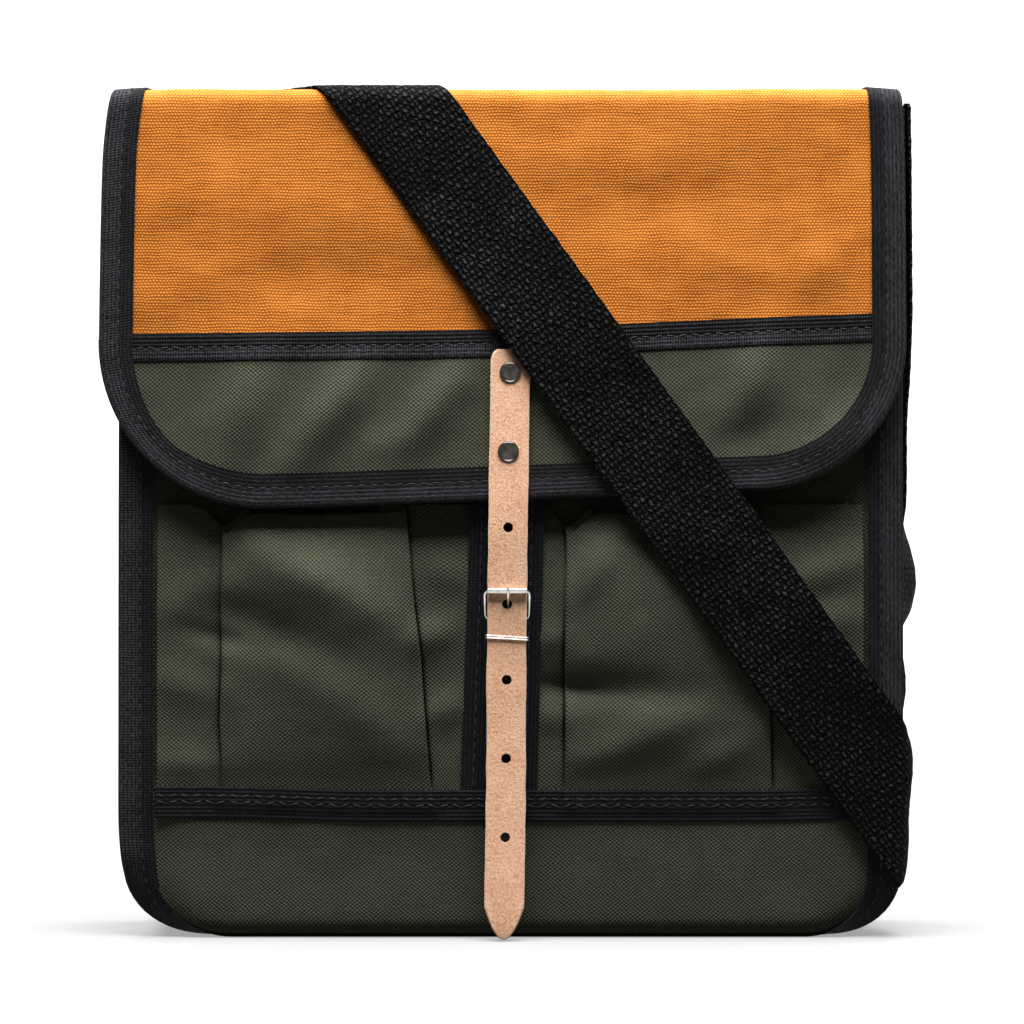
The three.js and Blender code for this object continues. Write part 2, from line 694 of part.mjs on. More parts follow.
// Leather closure strap: rounded top end, pointed tip, and a row of punched holes.
function closureStrap() {
  const edge = [
    ...steps(0, 1, 5).map((t) => STRAP_TIP_Z + STRAP_POINT * t * t),
    ...steps(STRAP_TIP_Z + STRAP_POINT, STRAP_TOP_Z - STRAP_ROUND, 14).slice(1),
    ...steps(0, 1, 4).slice(1).map((t) => STRAP_TOP_Z - STRAP_ROUND * (1 - t)),
  ];
  const halfAt = (z) => {
    const tip = clamp((z - STRAP_TIP_Z) / STRAP_POINT, 0, 1);
    const end = clamp((STRAP_TOP_Z - z) / STRAP_ROUND, 0, 1);
    return (STRAP_WIDTH / 2) * (0.06 + 0.94 * tip ** 0.52) * (0.62 + 0.38 * Math.sqrt(1 - (1 - end) ** 2));
  };
  const strap = wall([-1, 0, 1], edge, LEATHER, (u, z) => (
    vec(read(STRAP_PATH, 'z', z, 'x') + u * halfAt(z), read(STRAP_PATH, 'z', z, 'y'), z)
  ));
  const cut = (x, z, radius) => (
    peg(radius, 12, x, read(STRAP_PATH, 'z', z, 'y'), z, 16)
  );
  const holes = [
    ...HOLE_HEIGHTS.map((z) => cut(read(STRAP_PATH, 'z', z, 'x'), z, HOLE_RADIUS)),
    ...RIVETS.map((rivet) => cut(rivet.x, rivet.z, RIVET_SHANK + GAP)),
  ];
  return fromSolid(holes.reduce((solid, hole) => solid.subtract(toSolid(hole)), toSolid(strap)));
}

// A domed rivet with a short shank through the leather.
function rivetCap(rivet) {
  const face = read(STRAP_PATH, 'z', rivet.z, 'y') - LEATHER / 2 - GAP / 2;
  const deep = LEATHER + 1;
  const profile = [
    new THREE.Vector2(0, -deep),
    new THREE.Vector2(RIVET_SHANK, -deep),
    new THREE.Vector2(RIVET_SHANK, 0),
    new THREE.Vector2(RIVET_RADIUS, 0),
    new THREE.Vector2(RIVET_RADIUS, 0.5),
    new THREE.Vector2(RIVET_RADIUS * 0.86, RIVET_DOME * 0.68),
    new THREE.Vector2(RIVET_RADIUS * 0.5, RIVET_DOME * 0.92),
    new THREE.Vector2(0, RIVET_DOME),
  ];
  const cap = plain(new THREE.LatheGeometry(profile, 20));
  cap.rotateX(Math.PI);
  const lean = Math.atan(FLAP_LEAN);
  cap.rotateX(-lean);
  return cap.translate(rivet.x, face, rivet.z);
}

// Turns a shape drawn flat (x across, y from heel to bar) into the buckle's leaning plane.
function leanBuckle(geometry) {
  const rise = Math.atan2(BUCKLE_BAR.z - BUCKLE_HEEL.z, BUCKLE_BAR.y - BUCKLE_HEEL.y);
  geometry.rotateX(rise);
  const y = (BUCKLE_HEEL.y + BUCKLE_BAR.y) / 2;
  const z = (BUCKLE_HEEL.z + BUCKLE_BAR.z) / 2;
  return geometry.translate(BUCKLE_X, y, z);
}

// A flat ring with rounded corners, centred on the origin.
function ring(width, height, wire, outerCorner, depth) {
  const rounded = (shape, w, h, r) => {
    shape.moveTo(-w / 2 + r, -h / 2);
    shape.lineTo(w / 2 - r, -h / 2);
    shape.absarc(w / 2 - r, -h / 2 + r, r, -Math.PI / 2, 0);
    shape.lineTo(w / 2, h / 2 - r);
    shape.absarc(w / 2 - r, h / 2 - r, r, 0, Math.PI / 2);
    shape.lineTo(-w / 2 + r, h / 2);
    shape.absarc(-w / 2 + r, h / 2 - r, r, Math.PI / 2, Math.PI);
    shape.lineTo(-w / 2, -h / 2 + r);
    shape.absarc(-w / 2 + r, -h / 2 + r, r, Math.PI, 1.5 * Math.PI);
    return shape;
  };
  const outline = rounded(new THREE.Shape(), width, height, outerCorner);
  const opening = rounded(new THREE.Path(), width - 2 * wire, height - 2 * wire, outerCorner * 0.4);
  outline.holes.push(opening);
  const geometry = new THREE.ExtrudeGeometry(outline, { depth, bevelEnabled: false, curveSegments: 4 });
  return plain(geometry.translate(0, 0, -depth / 2));
}

function buckleFrame() {
  const reach = Math.hypot(BUCKLE_BAR.y - BUCKLE_HEEL.y, BUCKLE_BAR.z - BUCKLE_HEEL.z);
  const width = BUCKLE_OPENING + 2 * BUCKLE_WIRE;
  return leanBuckle(ring(width, reach + BUCKLE_WIRE, BUCKLE_WIRE, 2.4, BUCKLE_WIRE));
}

function buckleRoller() {
  const half = BUCKLE_OPENING / 2 - 0.4;
  const profile = [
    new THREE.Vector2(ROLLER_BORE, -half),
    new THREE.Vector2(ROLLER_RADIUS, -half),
    new THREE.Vector2(ROLLER_RADIUS, half),
    new THREE.Vector2(ROLLER_BORE, half),
    new THREE.Vector2(ROLLER_BORE, -half),
  ];
  const tube = plain(new THREE.LatheGeometry(profile, 18));
  tube.rotateZ(Math.PI / 2);
  return tube.translate(BUCKLE_X, BUCKLE_BAR.y, BUCKLE_BAR.z);
}

function buckleTongue() {
  const path = new THREE.CatmullRomCurve3(TONGUE_PATH.map((row) => vec(BUCKLE_X, row.y, row.z)));
  const round = new THREE.Shape().absarc(0, 0, TONGUE_RADIUS, 0, 2 * Math.PI);
  const rod = new THREE.ExtrudeGeometry(round, { steps: 16, curveSegments: 4, extrudePath: path });
  return plain(rod);
}

function keeperLoop() {
  const depth = KEEPER_BACK_Y - KEEPER_FRONT_Y;
  const loop = ring(BUCKLE_OPENING + 2 * KEEPER_WIRE, depth + KEEPER_WIRE, KEEPER_WIRE, 1.2, KEEPER_HEIGHT);
  return loop.translate(BUCKLE_X, (KEEPER_FRONT_Y + KEEPER_BACK_Y) / 2, KEEPER_Z);
}

// Tape tab folded over the heel bar of the buckle and hidden behind the strap.
function buckleTab() {
  const half = TAB_WIDTH / 2;
  return wall([half, -half], TAB_PATH, TAB_TAPE, (x, row) => vec(BUCKLE_X + x, row.y, row.z));
}

// Flat direction helpers for the ribbon's layout beside the bag.
function heading(from, to) {
  const length = Math.hypot(to.across - from.across, to.up - from.up);
  return { across: (to.across - from.across) / length, up: (to.up - from.up) / length };
}
const WEB_DOWN = heading(WEB_TOP, WEB_FOLD);
const WEB_SIDE_RUN = Math.hypot(WEB_FOLD.across - WEB_TOP.across, WEB_FOLD.up - WEB_TOP.up);
const WEB_CREASE = heading(
  { across: 0, up: 0 },
  { across: -WEB_DOWN.across - WEB_RISE.across, up: -WEB_DOWN.up - WEB_RISE.up },
);
const WEB_OUT = { across: WEB_CREASE.up, up: -WEB_CREASE.across };
const WEB_ACROSS = { across: -WEB_DOWN.up, up: WEB_DOWN.across };
const WEB_SLANT = -(WEB_ACROSS.across * WEB_OUT.across + WEB_ACROSS.up * WEB_OUT.up)
  / (WEB_DOWN.across * WEB_OUT.across + WEB_DOWN.up * WEB_OUT.up);

// A ribbon bent flat back on itself: how far it moves past the crease and how much it rises.
function bend(past) {
  const half = (WEB_FOLD_RADIUS * Math.PI) / 2;
  const angle = clamp((past + half) / WEB_FOLD_RADIUS, 0, Math.PI);
  const reach = past <= -half ? past : -half + WEB_FOLD_RADIUS * Math.sin(angle) - Math.max(past - half, 0);
  return { shift: reach - past, rise: WEB_FOLD_RADIUS * (1 - Math.cos(angle)) };
}

// The ribbon over the top of the flap, down the back and round to the left side.
function webOverTop(across, up) {
  const roll = (WEB_TOP_RADIUS * Math.PI) / 2;
  const frontCentre = flapSpot(0, flapRun(WEB_TOP_START), 0).y - WEB_OVER_FLAP + WEB_TOP_RADIUS;
  const flat = WEB_TOP_BACK_Y - frontCentre;
  const backRoll = (WEB_BACK_RADIUS * Math.PI) / 2;
  let past = up - WEB_TOP_START;
  if (past < roll) {
    const angle = past / WEB_TOP_RADIUS;
    const y = frontCentre - WEB_TOP_RADIUS * Math.cos(angle);
    return vec(across, y, WEB_TOP_Z - WEB_TOP_RADIUS * (1 - Math.sin(angle)));
  }
  past -= roll;
  if (past < flat) {
    return vec(across, frontCentre + past, WEB_TOP_Z);
  }
  past -= flat;
  if (past < backRoll) {
    const angle = past / WEB_BACK_RADIUS;
    const y = WEB_TOP_BACK_Y + WEB_BACK_RADIUS * Math.sin(angle);
    return vec(across, y, WEB_TOP_Z - WEB_BACK_RADIUS * (1 - Math.cos(angle)));
  }
  const z = WEB_TOP_Z - WEB_BACK_RADIUS - (past - backRoll);
  const backY = WEB_TOP_BACK_Y + WEB_BACK_RADIUS;
  const beyond = WEB_LEFT_X + WEB_LEFT_RADIUS - across;
  if (beyond < 0) {
    return vec(across, backY, z);
  }
  const angle = Math.min(beyond / WEB_LEFT_RADIUS, Math.PI / 2);
  const rest = Math.max(beyond - (WEB_LEFT_RADIUS * Math.PI) / 2, 0);
  const x = WEB_LEFT_X + WEB_LEFT_RADIUS * (1 - Math.sin(angle)) + WEB_LEFT_RECESS * smooth(rest, 0, 30);
  return vec(x, backY - WEB_LEFT_RADIUS * (1 - Math.cos(angle)) - rest, z);
}

// A spot of the ribbon: `run` along it from its sewn tail, `w` across it.
function webSpot(run, w) {
  const past = run - WEB_TAIL;
  const tail = bend(-past);
  const along = past - tail.shift;
  let across = WEB_TOP.across + WEB_DOWN.across * along + WEB_ACROSS.across * w;
  let up = WEB_TOP.up + WEB_DOWN.up * along + WEB_ACROSS.up * w;
  const over = (across - WEB_FOLD.across) * WEB_OUT.across + (up - WEB_FOLD.up) * WEB_OUT.up;
  const crease = bend(over);
  across += WEB_OUT.across * crease.shift;
  up += WEB_OUT.up * crease.shift;
  if (crease.rise > 1 && up > WEB_TOP_START) {
    return webOverTop(across, up);
  }
  if (crease.rise < 1) {
    across += WEB_SWING * smooth(-over, 15, 90);
  }
  const lift = crease.rise - tail.rise;
  const front = run - WEB_TAIL - WEB_SIDE_RUN;
  let base = front > 0 ? read(WEB_FRONT, 'run', front, 'y') : WEB_EDGE_Y;
  if (front > 0 && up > 240) {
    base = Math.min(base, flapSpot(0, flapRun(up), 0).y - WEB_OVER_FLAP + lift);
  }
  const edge = read(WEB_SIDE, 'z', up, 'x') + lift;
  const radius = WEB_CORNER_RADIUS + lift;
  const beyond = across - (edge - radius);
  if (beyond < 0) {
    return vec(across, base - lift, up);
  }
  const angle = Math.min(beyond / radius, Math.PI / 2);
  const rest = Math.max(beyond - (radius * Math.PI) / 2, 0);
  const y = base - lift + radius * (1 - Math.cos(angle)) + rest;
  return vec(edge - radius + radius * Math.sin(angle), y, up);
}

// Webbing shoulder strap.
function shoulderStrap() {
  const fold = WEB_TAIL + WEB_SIDE_RUN;
  const turn = [-2.3, -1.2, 0, 1.2, 2.3];
  const rows = [
    ...steps(0, WEB_TAIL - 4, 3),
    ...turn.map((t) => WEB_TAIL + t),
    ...steps(WEB_TAIL + 6, fold - 80, 9),
    ...steps(fold - 64, fold - 6, 4),
    ...turn.map((t) => fold + t),
    ...steps(fold + 6, fold + 106, 9),
    ...steps(fold + 124, fold + 424, 11),
    ...steps(fold + 446, fold + 464, 5),
    fold + 510,
    ...steps(fold + 557, fold + 591, 5),
    ...steps(fold + 608, fold + WEB_RUN, 10),
  ];
  const half = WEB_WIDTH / 2;
  return wall([-half, -19, -10, 0, 10, 19, half], rows, WEBBING, (w, run) => {
    const far = (run - fold) / 45;
    const overTop = smooth(run, fold + 300, fold + 400) - smooth(run, fold + 600, fold + 680);
    const slant = WEB_SLANT * Math.exp(-far * far) + (WEB_RISE.across / WEB_RISE.up) * overTop;
    return webSpot(run + w * slant, w);
  });
}

const bag = new THREE.Group();
bag.name = 'canvas_shoulder_bag';

function add(name, geometry, material) {
  const mesh = new THREE.Mesh(geometry.translate(0, DEPTH_SHIFT, 0), material);
  mesh.name = name;
  bag.add(mesh);
}

add('front_panel', bodyPanel(-1, FRONT_HEIGHT, 10), OLIVE);
add('back_panel', bodyPanel(1, BACK_HEIGHT, 8), OLIVE);
add('gusset', gussetStrip(), OLIVE);
add('front_binding', bodyBinding(-1, FRONT_HEIGHT - 2), BLACK);
add('back_binding', bodyBinding(1, FRONT_HEIGHT - 2), BLACK);
add('flap_upper', flapUpperCloth(), ORANGE);
add('flap_lower', flapLowerCloth(), OLIVE);
add('flap_seam_tape', flapSeamTape(), BLACK);
add('flap_binding', flapBindingTape(), BLACK);
POCKETS.forEach((pocket) => add(pocket.name, pocketCloth(pocket), OLIVE));
add('pocket_divider', dividerTape(), BLACK);
add('pocket_base_tape', baseTape(), BLACK);
add('closure_strap', closureStrap(), TAN);
RIVETS.forEach((rivet) => add(rivet.name, rivetCap(rivet), DARK_NICKEL));
add('buckle_frame', buckleFrame(), NICKEL);
add('buckle_roller', buckleRoller(), NICKEL);
add('buckle_tongue', buckleTongue(), NICKEL);
add('keeper_loop', keeperLoop(), NICKEL);
add('buckle_chape', buckleTab(), BLACK);
add('shoulder_strap', shoulderStrap(), WEB);

export default bag;
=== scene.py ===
import math

import bmesh
import bpy
import numpy as np
from mathutils import Matrix, Vector


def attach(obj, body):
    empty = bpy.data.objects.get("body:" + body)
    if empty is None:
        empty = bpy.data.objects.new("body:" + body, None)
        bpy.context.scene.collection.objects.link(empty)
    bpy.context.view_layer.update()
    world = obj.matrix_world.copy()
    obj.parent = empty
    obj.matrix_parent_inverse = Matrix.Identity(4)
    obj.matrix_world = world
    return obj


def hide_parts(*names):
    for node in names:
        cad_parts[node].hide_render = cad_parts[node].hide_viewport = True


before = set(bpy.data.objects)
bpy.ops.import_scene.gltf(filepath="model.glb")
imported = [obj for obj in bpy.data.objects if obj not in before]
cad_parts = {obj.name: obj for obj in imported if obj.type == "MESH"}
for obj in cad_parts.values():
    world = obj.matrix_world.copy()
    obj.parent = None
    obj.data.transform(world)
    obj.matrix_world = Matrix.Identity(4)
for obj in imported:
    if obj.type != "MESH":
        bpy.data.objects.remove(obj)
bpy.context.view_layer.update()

# A canvas shoulder bag. Sizes are millimetres in the frame's axes: +Z up, the front faces -Y.
MM = 0.001
DEPTH_SHIFT = 9.6
GAP = 0.4

# Thickness of each material.
CLOTH = 1.4
POCKET_CLOTH = 1.2
TAPE = 1.0
WEBBING = 1.7
LEATHER = 2.0
TAB_TAPE = 1.6

# Body: half width, middle, heights, swell of the panels and of the side strip.
BODY_HALF_WIDTH = 184.6
BODY_CENTRE_X = 2.4
FRONT_HEIGHT = 368
BACK_HEIGHT = 386
GUSSET_HEIGHT = 372
GUSSET_WIDTH = 95
FRONT_BULGE = 4
BACK_BULGE = 3
GUSSET_SIDE_BULGE = 6.5
GUSSET_FOOT_BULGE = 1.2
# How far the front stands out at its foot and at the pockets' tape, and lies back behind the pockets.
FOOT_BELLY = 4.0
TAPE_BELLY = 3.4
POCKET_RECESS = 5.6

# Bound seam: flange width, corner of the seam line, where the flange turns under the foot, the foot's
# taper and lean, and how far the panels reach under the tape.
FLANGE = 16.5
SEAM_FOOT = 2
SEAM_CORNER = 28
TURN_FROM = 45
TURN_LENGTH = 59
TAPER_FROM = 60
FOOT_TAPER = 5
FOOT_LEAN = 0.7
SEAM_TUCK = 2.0
# Tape on the bound seam: distances of its fold and its stitches from the seam line, and its lift.
BOUND_EDGE = 14.8
BOUND_LIFT = 1.3
BOUND_STITCH = 6.2

# Distance of the front and the back from the middle plane: (height, distance).
FRONT_LEAN = [(0, 47.2), (60, 49), (110, 48.6), (150, 48.2), (260, 45), (372, 38)]
BACK_LEAN = [(0, 44), (60, 46), (150, 47), (260, 45.5), (390, 42)]

# Flap: its run in side view, its flat size, the tape round its edge, its corners and its joint.
FLAP_BACK_Y = 48.2
FLAP_BACK_START = 338
FLAP_TOP_Z = 399.2
FLAP_BACK_RADIUS = 14
FLAP_FRONT_RADIUS = 7
FLAP_TOP_FRONT_Y = -39.2
FLAP_LEAN = 0.0762
FLAP_SEAM_HEIGHT = 280
FLAP_JOINT_HEIGHT = 282
FLAP_HEM_HEIGHT = 205
FLAP_BINDING = 16.2
FLAP_TAPE_EDGE = 2.1
FLAP_TAPE_LIFT = 1.45
FLAP_STITCH = 9.4
# The tape round the edge is narrower near this x and height, by this share.
FLAP_NARROW = (-165, 228, 0.16)
FLAP_CORNER_LEFT = 80
FLAP_CORNER_RIGHT = 68
FLAP_EDGE_DROOP = 3
FLAP_INSET = 2.0
SEAM_TAPE_WIDTH = 13
SEAM_TAPE = 0.7
SEAM_STITCH = 0.2
# (run from the back seam, x of the left edge) and the same for the right edge.
FLAP_LEFT = [
    (0, -172), (60, -181), (125, -184), (145, -186), (160, -188.2), (180, -189.9), (250, -191),
    (340, -191.5),
]
FLAP_RIGHT = [
    (0, 180), (60, 183), (125, 184.5), (142, 186.2), (153, 187.2), (180, 188), (250, 188.2),
    (340, 188.2),
]
# (x, height) of the joint of the two cloths and of the hem.
FLAP_SEAM = [(-190, 277), (-100, 278), (0, 279.5), (100, 284), (190, 287.5)]
FLAP_HEM = [(-190, 200.5), (-100, 202), (0, 205.5), (100, 209.5), (190, 212.5)]
# Soft folds of the flap: (x, z, direction in degrees, length, width, height).
FLAP_FOLDS = [
    (-120, 345, -8, 75, 14, 0.9),
    (-95, 310, 6, 60, 12, -0.9),
    (-150, 305, 20, 30, 12, 0.8),
    (95, 350, 8, 80, 16, -0.8),
    (120, 315, -6, 60, 12, 0.9),
    (40, 365, -4, 60, 11, 0.7),
    (150, 318, 40, 22, 8, 0.9),
    (-82, 247, 54, 30, 11, 5.8),
    (-33, 249, 54, 28, 10, 5.0),
    (-123, 246, 70, 30, 13, 5.0),
    (-58, 232, 20, 14, 8, 1.2),
    (117, 262, 65, 25, 12, 3.9),
    (149, 230, 40, 20, 9, 2.8),
    (113, 237, 20, 15, 8, -1.8),
    (160, 262, 80, 18, 9, -1.4),
]

# Pockets: height of foot and mouth, pleats with slits beside them, how far the mouth tucks in, sags and
# rises, the height at which the weave is measured, and for each pocket four lines as (mouth x, foot x).
POCKET_FOOT = 64
POCKET_MOUTH = 197
PLEAT_DEPTH = 12
PLEAT_LAYER = 2
PLEAT_OPEN = 0.6
PLEAT_ROUND = 0.8
SLIT_DEPTH = 3.4
STRIP_END = 2.2
MOUTH_TUCK = 3.0
MOUTH_SAG = 0.075
MOUTH_RISE = 0.05
WEAVE_HEIGHT = 121
# The side strips of a pocket dive under its face: (distance past the face's edge, share of the depth).
DIVE = [(-1.5, 0.3), (-1.1, 0.8), (-0.4, 1), (4, 1)]
POCKET_LIFT = 1.7
POCKETS = {
    "pocket_left": [(-163.8, -163.8), (-133.2, -133.2), (-47.2, -34.5), (-14, -18.6)],
    "pocket_right": [(16.4, 12.6), (28.4, 28.4), (118.2, 125.3), (168.2, 168.2)],
}
# (height, rise of the pocket's face above its pleats).
POCKET_CROWN = [(64, 0), (73, 0.8), (95, 2.6), (120, 3.6), (150, 4.8), (175, 3.6), (197, 0.6)]

# Folds of the limp pockets, as for the flap.
POCKET_FOLDS = [
    (-88, 168, -31, 46, 13, 2.8),
    (-114, 146, -22, 34, 11, -2.8),
    (-134, 141, -14, 16, 5, -1.6),
    (-70, 108, -35, 40, 14, 1.5),
    (-34, 142, 24, 13, 8, 1.7),
    (-29, 107, 28, 12, 8, 1.6),
    (-27, 172, -20, 12, 9, 1.3),
    (-149, 160, 24, 18, 11, 1.9),
    (-150, 118, -18, 18, 9, 1.3),
    (-150, 79, 0, 24, 9, 1.4),
    (46, 118, -4, 42, 9, -2.6),
    (32, 117, -4, 18, 4, -1.6),
    (60, 92, 24, 34, 9, 1.4),
    (100, 84, 35, 26, 8, 1.2),
    (44, 176, 50, 22, 10, 1.9),
    (22, 141, 15, 9, 7, 1.2),
    (21, 104, -15, 9, 7, 1.1),
    (150, 172, 20, 22, 9, 1.9),
    (145, 148, 8, 24, 9, 1.7),
]

# Tapes round the pockets; the lower one has stitches as height and seed, and sags between its ends.
BASE_TAPE_FOOT = 56.5
BASE_TAPE_TOP = 71.5
BASE_TAPE_INSET = 0.6
BASE_TAPE_STITCHES = {64.2: 76, 67.2: 77}
BASE_TAPE_FOOT_LIFT = 4.6
BASE_TAPE_FACE_LIFT = 5.5
BASE_TAPE_SAG = 1.7
BASE_TAPE_END_RISE = 0.6
# (height, share of the way from the tape's lift at its foot to its lift over the pockets).
BASE_TAPE_RISE = [(BASE_TAPE_FOOT, 0), (59.5, 0.15), (POCKET_FOOT - 1.4, 1), (BASE_TAPE_TOP, 1.12)]
DIVIDER_FOOT = 66
DIVIDER_TOP = 214
DIVIDER_STITCH = 6
DIVIDER_LEFT = [(DIVIDER_FOOT, -21.4), (DIVIDER_TOP, -16.2)]
DIVIDER_RIGHT = [(DIVIDER_FOOT, 14.8), (DIVIDER_TOP, 18.6)]
DIVIDER_LIFT = 3.2

# Leather strap: width, ends, the run of its middle as (height, x) and (height, y), its holes.
STRAP_WIDTH = 18.6
STRAP_TOP_Z = 276.5
STRAP_TIP_Z = 1
STRAP_ROUND = 6
STRAP_POINT = 15
STRAP_X = [(0, -1.2), (20, -0.7), (60, 0), (118, 0.5), (164, 0.8), (205, 1.4), (230, 1.6), (280, 2.3)]
STRAP_Y = [
    (0, -70), (20, -68.8), (60, -66.8), (100, -65.1), (118, -64.7), (130, -64.5), (150, -64.6),
    (164, -64.7), (190, -64.7), (205, -64.1), (230, -62.2), (280, -58.4),
]
HOLE_RADIUS = 2.3
PUNCH_LENGTH = 12
HOLE_HEIGHTS = (193, 157.2, 121.8, 85.1, 48.4)
RIVET_RADIUS = 5
# Section of a rivet: (radius, height above the leather), from its shank to the middle of its cap.
RIVET_PROFILE = [
    (1.6, -LEATHER - 0.8), (1.6, 0.0), (RIVET_RADIUS - 0.1, 0.0), (RIVET_RADIUS, 0.2), (RIVET_RADIUS, 0.7),
    (RIVET_RADIUS - 0.2, 1.1), (4.4, 1.35), (4.0, 1.15), (3.7, 0.75), (3.4, 0.7), (2.4, 0.95), (0.9, 1.15),
]
RIVETS = {"rivet_upper": (2.1, 265.5), "rivet_lower": (1.3, 228.4)}

# Buckle: (y, z) of its two bars, wire sizes, the tongue, the keeper and the tab that holds it.
BUCKLE_X = 0.7
BUCKLE_HEEL = (-59.8, 150)
BUCKLE_BAR = (-67.2, 163.4)
BUCKLE_HALF = 10.6
BUCKLE_WIRE = 0.65
BUCKLE_CORNER = 2.6
ROLLER_RADIUS = 1.45
ROLLER_HALF = 9.2
TONGUE_RADIUS = 0.8
TONGUE_PATH = [
    (-61.6, 153.9), (-62.7, 156), (-64.5, 157.5), (-67.2, 159.2), (-69.4, 161.2), (-69.9, 163.2),
    (-69.4, 164.8),
]
KEEPER_Z = 141.5
KEEPER_WIRE = 0.3
KEEPER_STEP = 0.55
KEEPER_SLOPE = 0.06
KEEPER_HALF = 10.05
KEEPER_FRONT_Y = -66.2
KEEPER_BACK_Y = -59.8
TAB_WIDTH = 17
TAB_PATH = [
    (-57.5, 124), (-57.5, 150), (-58.2, 151.8), (-59.8, 152.4), (-61.4, 151.8), (-62.1, 150), (-62, 132),
    (-60.4, 118), (-57.4, 95), (-56.6, 74),
]

# Shoulder strap: a ribbon laid out flat beside the bag as (across, up), folded, and wrapped round it.
WEB_WIDTH = 48
WEB_TAIL = 58
WEB_RUN = 752
WEB_TOP = np.array([231.0, 394.0])
WEB_FOLD = np.array([209.0, 30.1])
WEB_SWING = 14
WEB_RISE = np.array([-0.583, 0.812])
WEB_FOLD_RADIUS = 1.2
WEB_CORNER_RADIUS = 6
WEB_EDGE_Y = -53.2
WEB_OVER_FLAP = 3
WEB_TOP_START = 392.5
WEB_TOP_RADIUS = 8.6
WEB_TOP_Z = 401.1
WEB_TOP_BACK_Y = 35.3
WEB_BACK_RADIUS = 17
WEB_LEFT_X = -187
WEB_LEFT_RADIUS = 9
WEB_LEFT_RECESS = 7
# The ribbon bulges beside the body: height and spread of the bulge, and how far it leans.
WEB_BULGE_Z = 168
WEB_BULGE_SPREAD = 21
WEB_BULGE_LEAN = 15.5
# (height, x) of the ribbon beside the body, and (run past the fold, y) across the front.
WEB_SIDE = [
    (15, 180.6), (27, 184.6), (41, 186.4), (60, 186.8), (84, 188.4), (98, 186.6), (116, 188.8),
    (140, 189), (155, 195.5), (168, 197.6), (181, 195), (197, 190.6), (240, 190), (267, 191.6),
    (295, 192.6), (395, 192.4),
]
WEB_FRONT = [
    (0, -53.4), (30, -54.4), (70, -57.4), (110, -61.2), (160, -64.4), (190, -64.6), (225, -63.8),
    (260, -62.4), (310, -60.2), (345, -56), (380, -50), (434, -44),
]
# The ribbon's weave: width of a warp cord and length of one float over the weft.
WEB_CORD = 2.32
WEB_FLOAT = 3.1
WEB_JOIN = 12

# Stitches: distance, length and thickness of the thread, its flatness, and its rise and dip.
STITCH_PITCH = 5.8
STITCH_LENGTH = 3.6
STITCH_RADIUS = 0.3
STITCH_FLATNESS = 1.25
STITCH_RISE = 0.45
STITCH_DIP = 2.2
# (place along a stitch, share of its thickness).
STITCH_PROFILE = [(-0.5, 0.25), (-0.42, 0.8), (-0.2, 1), (0.2, 1), (0.42, 0.8), (0.5, 0.25)]

# Distance of two ribs of the tapes.
TAPE_RIB = 1.86


# Numbers


def steps(start, end, spacing):
    count = max(1, round(abs(end - start) / spacing))
    return np.linspace(start, end, count + 1)


def smooth(at, low, high):
    share = np.clip((at - low) / (high - low), 0, 1)
    return share * share * (3 - 2 * share)


def lerp(a, b, share):
    return a + (b - a) * share


def read(table, at):
    """Smooth curve through the rows of a table, read at one or many places."""
    keys, values = np.array(table, float).T
    slopes = np.gradient(values)
    slopes[1:-1] *= 2 / (keys[2:] - keys[:-2])
    slopes[0] /= keys[1] - keys[0]
    slopes[-1] /= keys[-1] - keys[-2]
    at = np.asarray(at, float)
    i = np.clip(np.searchsorted(keys, at) - 1, 0, len(keys) - 2)
    span = keys[i + 1] - keys[i]
    t = np.clip((at - keys[i]) / span, 0, 1)
    rise = (3 - 2 * t) * t * t
    return (
        lerp(values[i], values[i + 1], rise)
        + (t * (1 - t) ** 2) * span * slopes[i]
        - (t * t * (1 - t)) * span * slopes[i + 1]
    )


def fold_lift(folds, x, z):
    total = 0
    for fold_x, fold_z, turn, length, width, height in folds:
        angle = math.radians(turn)
        along = ((x - fold_x) * math.cos(angle) + (z - fold_z) * math.sin(angle)) / length
        across = ((z - fold_z) * math.cos(angle) - (x - fold_x) * math.sin(angle)) / width
        total = total + height * np.exp(-along * along - across * across)
    return total


def ripple(x, z, size, seed):
    """A smooth random field between -1 and 1 whose bumps are about `size` wide."""
    lattice = np.random.default_rng(seed).uniform(-1, 1, (64, 64))
    x, z = np.broadcast_arrays(np.asarray(x, float) / size, np.asarray(z, float) / size)
    i = np.floor(x).astype(int)
    j = np.floor(z).astype(int)
    tx = smooth(x - i, 0, 1)
    tz = smooth(z - j, 0, 1)
    at = lambda a, b: lattice[(i + a) % 64, (j + b) % 64]
    return lerp(lerp(at(0, 0), at(1, 0), tx), lerp(at(0, 1), at(1, 1), tx), tz)


def ribs(distance, pitch, height):
    return height * np.cos(2 * np.pi * np.asarray(distance) / pitch)


def spot(x, y, z):
    return np.stack(np.broadcast_arrays(np.asarray(x, float), y, z), -1)


# Meshes


def grid_normals(points):
    normal = np.cross(np.gradient(points, axis=0), np.gradient(points, axis=1))
    return normal / np.maximum(np.linalg.norm(normal, axis=-1, keepdims=True), 1e-9)


